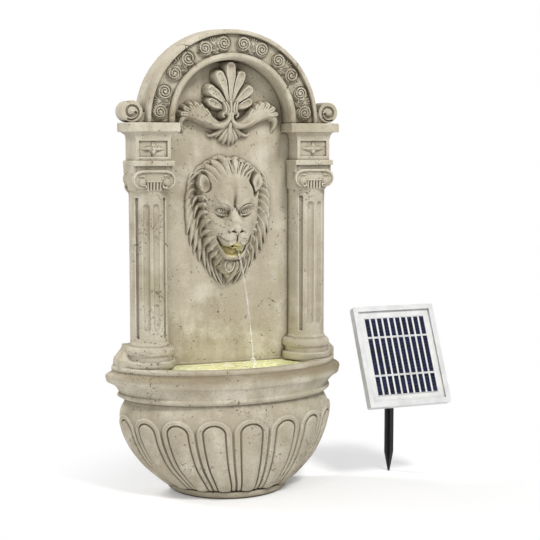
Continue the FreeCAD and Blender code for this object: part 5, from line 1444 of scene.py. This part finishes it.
def stone():
    m = Nodes("cast_stone")
    broad = m.noise(5.0, 5, 0.6)
    mid = m.noise(22.0, 6, 0.62)
    fine = m.noise(420.0, 3, 0.6)
    colour = m.tint(rgb(176, 166, 146), rgb(196, 188, 169), broad, 0.35, 0.68)
    colour = m.tint(colour, rgb(207, 200, 183), mid, 0.44, 0.70)
    colour = m.tint(colour, rgb(150, 138, 114), m.noise(9.0, 6, 0.66), 0.52, 0.72, 0, 0.60)
    streak = m.noise(30.0, 5, 0.6, (1.0, 1.0, 0.16))
    colour = m.tint(colour, rgb(138, 127, 106), streak, 0.50, 0.74, 0, 0.40)
    algae = m.noise(7.0, 4, 0.5, (1, 1, 0.5))
    colour = m.tint(colour, rgb(158, 158, 122), algae, 0.57, 0.72, 0, 0.38)
    colour = weathering_and_painted_light(m, colour, mid)
    # Pits, specks and hairline cracks
    patch = m.ramp(m.noise(12.0, 3, 0.5), 0.53, 0.64)
    pits = m.times(m.ramp(m.noise(260.0, 3, 0.6), 0.60, 0.66), patch)
    specks = m.ramp(m.noise(190.0, 2, 0.5), 0.70, 0.74)
    marks = m.math("MAXIMUM", m.math("MAXIMUM", pits, specks), cracks(m))
    colour = m.mix(m.times(marks, 0.80), colour, rgb(74, 63, 45))
    colour = m.tint(colour, rgb(128, 117, 94), fine, 0.35, 0.7, 0.0, 0.22)
    n = m.height(mid, 0.16, 0.005)
    n = m.height(m.noise(150.0, 4, 0.65), 0.30, 0.0014, n)
    n = m.height(fine, 0.30, 0.0005, n)
    n = m.height(m.times(marks, -1.0), 0.8, 0.0016, n)
    m.shader(Base_Color=colour, Roughness=0.86, Normal=n, Specular_IOR_Level=0.2)
    return m.mat


def weathering_and_painted_light(m, colour, mid):
    """Painted shade and dirt in the hollows and creases, painted highlight and wear on the edges, the dark
    mark of the raised work with its painted shade, and the stained band along the rim.
    """
    # Ambient occlusion paints shade, together with the dirt there, into the hollows at a wide and a close
    # reach
    wide = m.node("AmbientOcclusion", {"Distance": 0.020}, samples=8).outputs["AO"]
    close = m.node("AmbientOcclusion", {"Distance": 0.0045}, samples=8).outputs["AO"]
    spread = m.ramp(mid, 0.2, 0.7, 0.70, 1.0)
    colour = m.mix(m.times(m.ramp(wide, 0.35, 0.95, 0.62, 0), spread), colour, rgb(104, 93, 72))
    colour = m.mix(m.times(m.ramp(close, 0.35, 0.92, 0.85, 0), spread), colour, rgb(72, 62, 44))
    # Pointiness paints shade into creases and a highlight, together with their wear, on the edges
    point = m.node("NewGeometry").outputs["Pointiness"]
    colour = m.tint(colour, rgb(80, 70, 52), point, 0.40, 0.485, 0.65, 0)
    colour = m.tint(colour, rgb(229, 223, 207), point, 0.512, 0.57, 0, 0.75)
    # Dark mark of the raised work: washed hollows with painted shade, and painted shade on the lion's face
    wash_and_painted_shade = m.node("Attribute", attribute_name="wash_and_painted_shade")
    colour = m.mix(m.times(wash_and_painted_shade.outputs["Fac"], 0.62), colour, rgb(106, 92, 68))
    # The rim's stained band, in metres of height
    height = m.node("SeparateXYZ", {"Vector": m.place}).outputs[2]
    band = m.times(m.ramp(height, 0.198, 0.207), m.ramp(height, 0.212, 0.217, 1, 0))
    rows = m.ramp(m.noise(7.0, 6, 0.66, (1.0, 1.0, 4.0)), 0.36, 0.62, 0.20, 0.75)
    return m.mix(m.times(band, rows), colour, rgb(136, 123, 98))


def cracks(m):
    cell = m.node("TexVoronoi", {"Vector": m.place, "Scale": 11.0}, feature="DISTANCE_TO_EDGE")
    warp = m.math("ADD", cell.outputs["Distance"], m.times(m.noise(60.0, 5, 0.75), 0.09))
    line = m.ramp(warp, 0.046, 0.053, 1, 0)
    return m.times(line, m.ramp(m.noise(8.0, 2, 0.5), 0.61, 0.67))


def plastic(name, base, rough=0.45, dust=None, coat=0.0):
    m = Nodes(name)
    colour = m.tint(darker(base, 0.86), base, m.noise(40.0, 4, 0.6), 0.3, 0.7)
    if dust:
        colour = m.tint(colour, dust, m.noise(25.0, 5, 0.7), 0.5, 0.8, 0, 0.35)
    r = m.ramp(m.noise(120.0, 3, 0.5), 0.2, 0.8, rough - 0.06, rough + 0.08)
    n = m.height(m.noise(900.0, 2, 0.5), 0.3, 0.00015)
    m.shader(Base_Color=colour, Roughness=r, Normal=n, Coat_Weight=coat)
    return m.mat


def metal(name, base, rough=0.32):
    m = Nodes(name)
    scratches = m.noise(260.0, 4, 0.6, (1.0, 1.0, 14.0))
    colour = m.tint(darker(base, 0.8), base, m.noise(50.0, 4, 0.6), 0.35, 0.7)
    r = m.ramp(scratches, 0.2, 0.8, rough - 0.08, rough + 0.12)
    m.shader(Base_Color=colour, Metallic=1.0, Roughness=r, Normal=m.height(scratches, 0.15, 0.0002))
    return m.mat


def foam(name, base):
    m = Nodes(name)
    cell = m.node("TexVoronoi", {"Vector": m.place, "Scale": 700.0})
    holes = m.ramp(cell.outputs["Distance"], 0.1, 0.6)
    # Darker pits: painted shade in the foam's pores
    colour = m.mix(holes, darker(base, 0.3), base)
    m.shader(Base_Color=colour, Roughness=0.95, Normal=m.height(holes, 0.8, 0.001))
    return m.mat


def water_material():
    m = Nodes("pool_water")
    ripple = m.noise(70.0, 3, 0.5, None, 1.2)
    # Painted light: the pale yellow colour, the bright ripple patches and the emission paint the glow of the
    # light in the pool and glints on the ripples
    colour = m.tint(rgb(206, 205, 140), rgb(236, 236, 196), m.noise(9.0, 3, 0.5), 0.35, 0.7)
    painted_glints = m.ramp(ripple, 0.50, 0.66)
    colour = m.mix(m.times(painted_glints, 0.7), colour, rgb(255, 255, 240))
    n = m.height(ripple, 0.5, 0.0025)
    painted_glow = m.mix(painted_glints, rgb(196, 196, 120), rgb(255, 255, 225))
    m.shader(Base_Color=colour, Roughness=0.07, Normal=n, IOR=1.33, Emission_Color=painted_glow,
             Emission_Strength=0.16, Specular_IOR_Level=0.5)
    return m.mat


def jet_material():
    m = Nodes("jet_water")
    streak = m.ramp(m.noise(160.0, 4, 0.6, (1, 1, 0.25)), 0.42, 0.62)
    # Painted glow: the emission makes the jet shine though it is no lamp
    m.shader(Base_Color=(0.97, 0.98, 1.0, 1.0), Roughness=0.08, IOR=1.33, Transmission_Weight=0.55,
             Emission_Color=(1.0, 1.0, 0.96, 1.0), Emission_Strength=0.10,
             Alpha=m.math("ADD", m.times(streak, 0.42), 0.10))
    return m.mat


def glass_sheet(name, tint, alpha, rough):
    m = Nodes(name)
    smear = m.ramp(m.noise(14.0, 4, 0.6), 0.3, 0.8, rough, rough + 0.06)
    m.shader(Base_Color=tint, Roughness=smear, IOR=1.5, Alpha=alpha, Specular_IOR_Level=0.5,
             Normal=m.height(m.noise(300.0, 2, 0.5), 0.05, 0.0002))
    return m.mat


def clear_glass(name):
    """Thin sheet that only adds a weak reflection."""
    m = Nodes(name)
    smear = m.ramp(m.noise(14.0, 4, 0.6), 0.3, 0.8, 0.06, 0.12)
    gloss = m.node("BsdfGlossy", {"Color": (1, 1, 1, 1), "Roughness": smear})
    through = m.node("BsdfTransparent", {"Color": (0.985, 0.985, 0.985, 1)})
    fresnel = m.node("Fresnel", {"IOR": 1.35})
    m.show(m.between(m.times(fresnel.outputs[0], 0.16), through, gloss))
    return m.mat


def cell_material():
    """Dark blue silicon with thin pale lines along each strip."""
    m = Nodes("solar_cell")
    pitch = 0.0055
    up = m.node("SeparateXYZ", {"Vector": m.place}).outputs[2]
    wave = m.math("FRACT", m.times(m.math("ADD", up, 5.0), 1 / pitch))
    line = m.ramp(m.math("ABSOLUTE", m.math("SUBTRACT", wave, 0.5)), 0.44, 0.49)
    colour = m.tint(rgb(18, 19, 42), rgb(30, 32, 66), m.noise(60.0, 3, 0.5), 0.3, 0.7)
    colour = m.mix(m.times(line, 0.30), colour, rgb(120, 128, 150))
    m.shader(Base_Color=colour, Roughness=0.45, Specular_IOR_Level=0.12,
             Normal=m.height(m.noise(500.0, 2, 0.5), 0.1, 0.0001))
    return m.mat


def board_material():
    m = Nodes("circuit_board")
    cell = m.node("TexVoronoi", {"Vector": m.place, "Scale": 260.0}, distance="MANHATTAN")
    colour = m.tint(rgb(20, 92, 48), rgb(46, 128, 74), cell.outputs["Distance"], 0.42, 0.5)
    m.shader(Base_Color=colour, Roughness=0.35, Coat_Weight=0.4)
    return m.mat


def wear(obj, material):
    obj.data.materials.clear()
    obj.data.materials.append(material)


def dress():
    look = {
        "cast_stone": stone(),
        "cover_plastic": plastic("cover_plastic", rgb(150, 142, 124), 0.6, dust=rgb(176, 168, 148)),
        "zinc_screw": metal("zinc_screw", (0.62, 0.62, 0.60, 1)),
        "steel_plate": metal("steel_plate", (0.55, 0.56, 0.57, 1), 0.38),
        "black_plastic": plastic("black_plastic", rgb(34, 34, 36), 0.42),
        "grey_plastic": plastic("grey_plastic", rgb(118, 118, 120), 0.5),
        "white_plastic": plastic("white_plastic", rgb(221, 221, 221), 0.38, coat=0.15),
        "hose_pvc": plastic("hose_pvc", rgb(128, 134, 128), 0.3, coat=0.4),
        "black_rubber": plastic("black_rubber", rgb(40, 40, 40), 0.75),
        "sponge_foam": foam("sponge_foam", rgb(70, 70, 74)),
        "brass_pipe": metal("brass_pipe", (0.34, 0.30, 0.17, 1), 0.55),
        "steel_pin": metal("steel_pin", (0.75, 0.75, 0.76, 1), 0.15),
        "rotor_plastic": plastic("rotor_plastic", rgb(190, 194, 198), 0.4),
        "circuit_board": board_material(),
        "lens": glass_sheet("lens", rgb(240, 240, 205), 0.7, 0.35),
        "panel_glass": clear_glass("panel_glass"),
        "solar_cell": cell_material(),
        "tin_ribbon": metal("tin_ribbon", (0.78, 0.79, 0.80, 1), 0.3),
        "backing_sheet": plastic("backing_sheet", rgb(236, 236, 234), 0.45),
        "battery_wrap": plastic("battery_wrap", rgb(52, 128, 74), 0.3, coat=0.3),
        "button_cap": plastic("button_cap", rgb(150, 40, 34), 0.4),
    }
    slots = {p["node"]: p["material_slot"] for p in frame["record"]["subparts"]}
    for name, obj in frame["nodes"].items():
        wear(obj, look[slots[name]])
    for obj in bpy.data.objects:
        if obj.type == "MESH" and obj.get("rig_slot") and not obj.get("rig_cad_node"):
            wear(obj, look[obj["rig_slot"]])
    bpy.data.objects["water_surface"].data.materials[0] = water_material()
    wet = jet_material()
    for name in ("water_jet", "water_splash"):
        bpy.data.objects[name].data.materials[0] = wet


# Studio, in metres
SKY = 0.41
FLOOR_LIFT = 0.17
FLOOR_HALF = 6.0
# Round the object's shadow the floor is lit, and plain white beyond
SHADOW_AT = (0.10, -0.10)
SHADOW_REACH = (0.27, 0.52)
# Area lamps: place, aim, side, watts and tint
LAMPS = {
    "key": ((0.55, -1.95, 2.6), (0.0, 0.0, 0.45), 0.7, 60.0, (1.0, 0.99, 0.97)),
    "fill": ((-2.0, -1.8, 1.3), (0.0, 0.0, 0.4), 1.4, 16.0, (1, 1, 1)),
    "side": ((-1.6, 1.2, 2.3), (0.0, 0.0, 0.3), 0.9, 40.0, (1, 1, 1)),
}
# Small lamps over the pool and in the lion's mouth: watts, tint, radius and places
GLOWS = {
    "pool_glow": (0.012, (0.93, 0.95, 0.45), 0.03, ((-0.04, -0.05, 0.236), (0.06, -0.05, 0.236))),
    "mouth_glow": (0.0035, (0.95, 0.95, 0.45), 0.004,
                   ((-0.020, -0.042, 0.427), (-0.009, -0.041, 0.414), (0.003, -0.039, 0.416))),
}
EYE = (-0.74306, -2.09491, 0.59604)
EYE_TURN = (84.3417, 0, -21.4837)
LENS = 86.49


def build_studio():
    build_floor()
    build_sky()
    for name, (where, at, side, power, tint) in LAMPS.items():
        data = bpy.data.lights.new(name, "AREA")
        data.shape = "RECTANGLE"
        data.size = data.size_y = side
        data.energy = power
        data.color = tint
        obj = add_object(name, data, where)
        obj.rotation_mode = "QUATERNION"
        obj.rotation_quaternion = (Vector(at) - Vector(where)).to_track_quat("-Z", "Y")
    for name, (power, tint, size, places) in GLOWS.items():
        data = bpy.data.lights.new(name, "POINT")
        data.energy = power
        data.color = tint
        data.shadow_soft_size = size
        for where in places:
            add_object(name, data, where)
    build_camera()


def add_object(name, data, where=(0, 0, 0)):
    obj = bpy.data.objects.new(name, data)
    obj.location = where
    bpy.context.scene.collection.objects.link(obj)
    return obj


def build_floor():
    """Pale floor, which the camera sees a little lifted and turning white away from the object."""
    m = Nodes("floor")
    pale = m.tint((0.84, 0.84, 0.84, 1), (0.86, 0.86, 0.86, 1), m.noise(3.0, 3, 0.5), 0.3, 0.7)
    plain = m.node("BsdfDiffuse", {"Color": pale})
    lift = m.node("Emission", {"Color": (1, 1, 1, 1), "Strength": FLOOR_LIFT})
    near = m.node("AddShader", {0: plain.outputs[0], 1: lift.outputs[0]})
    white = m.node("Emission", {"Color": (1, 1, 1, 1), "Strength": 1.0})
    part = m.node("SeparateXYZ", {"Vector": m.place})
    x = m.math("SUBTRACT", part.outputs[0], SHADOW_AT[0])
    y = m.math("SUBTRACT", part.outputs[1], SHADOW_AT[1])
    reach = m.math("SQRT", m.math("ADD", m.times(x, x), m.times(y, y)))
    seen = m.between(m.ramp(reach, *SHADOW_REACH), near, white)
    m.show(m.between(m.node("LightPath").outputs["Is Camera Ray"], plain, seen))
    mesh = bpy.data.meshes.new("floor")
    s = FLOOR_HALF
    mesh.from_pydata([(-s, -s, 0), (s, -s, 0), (s, s, 0), (-s, s, 0)], [], [(0, 1, 2, 3)])
    mesh.materials.append(m.mat)
    add_object("floor", mesh)


def build_sky():
    """White behind the object for the camera, and a weaker light all round."""
    world = bpy.data.worlds.new("studio")
    bpy.context.scene.world = world
    world.use_nodes = True
    t = world.node_tree
    t.nodes.clear()
    pick = t.nodes.new("ShaderNodeMixShader")
    path = t.nodes.new("ShaderNodeLightPath")
    t.links.new(path.outputs["Is Camera Ray"], pick.inputs[0])
    for i, (colour, strength) in enumerate((((0.97, 0.98, 1.0, 1), SKY), ((1, 1, 1, 1), 1.0))):
        back = t.nodes.new("ShaderNodeBackground")
        back.inputs["Color"].default_value = colour
        back.inputs["Strength"].default_value = strength
        t.links.new(back.outputs[0], pick.inputs[i + 1])
    t.links.new(pick.outputs[0], t.nodes.new("ShaderNodeOutputWorld").inputs[0])


def build_camera():
    cam = bpy.data.cameras.new("camera")
    cam.lens = LENS
    cam.sensor_width = 36.0
    eye_object = add_object("camera", cam, EYE)
    eye_object.rotation_euler = [math.radians(v) for v in EYE_TURN]
    bpy.context.scene.camera = eye_object
    bpy.context.scene.view_settings.view_transform = "Standard"


build_basin()
build_pool()
build_wall()
build_arch()
build_column()
build_crest()
build_lion()
build_water()
build_back_edge()
dress()
build_studio()
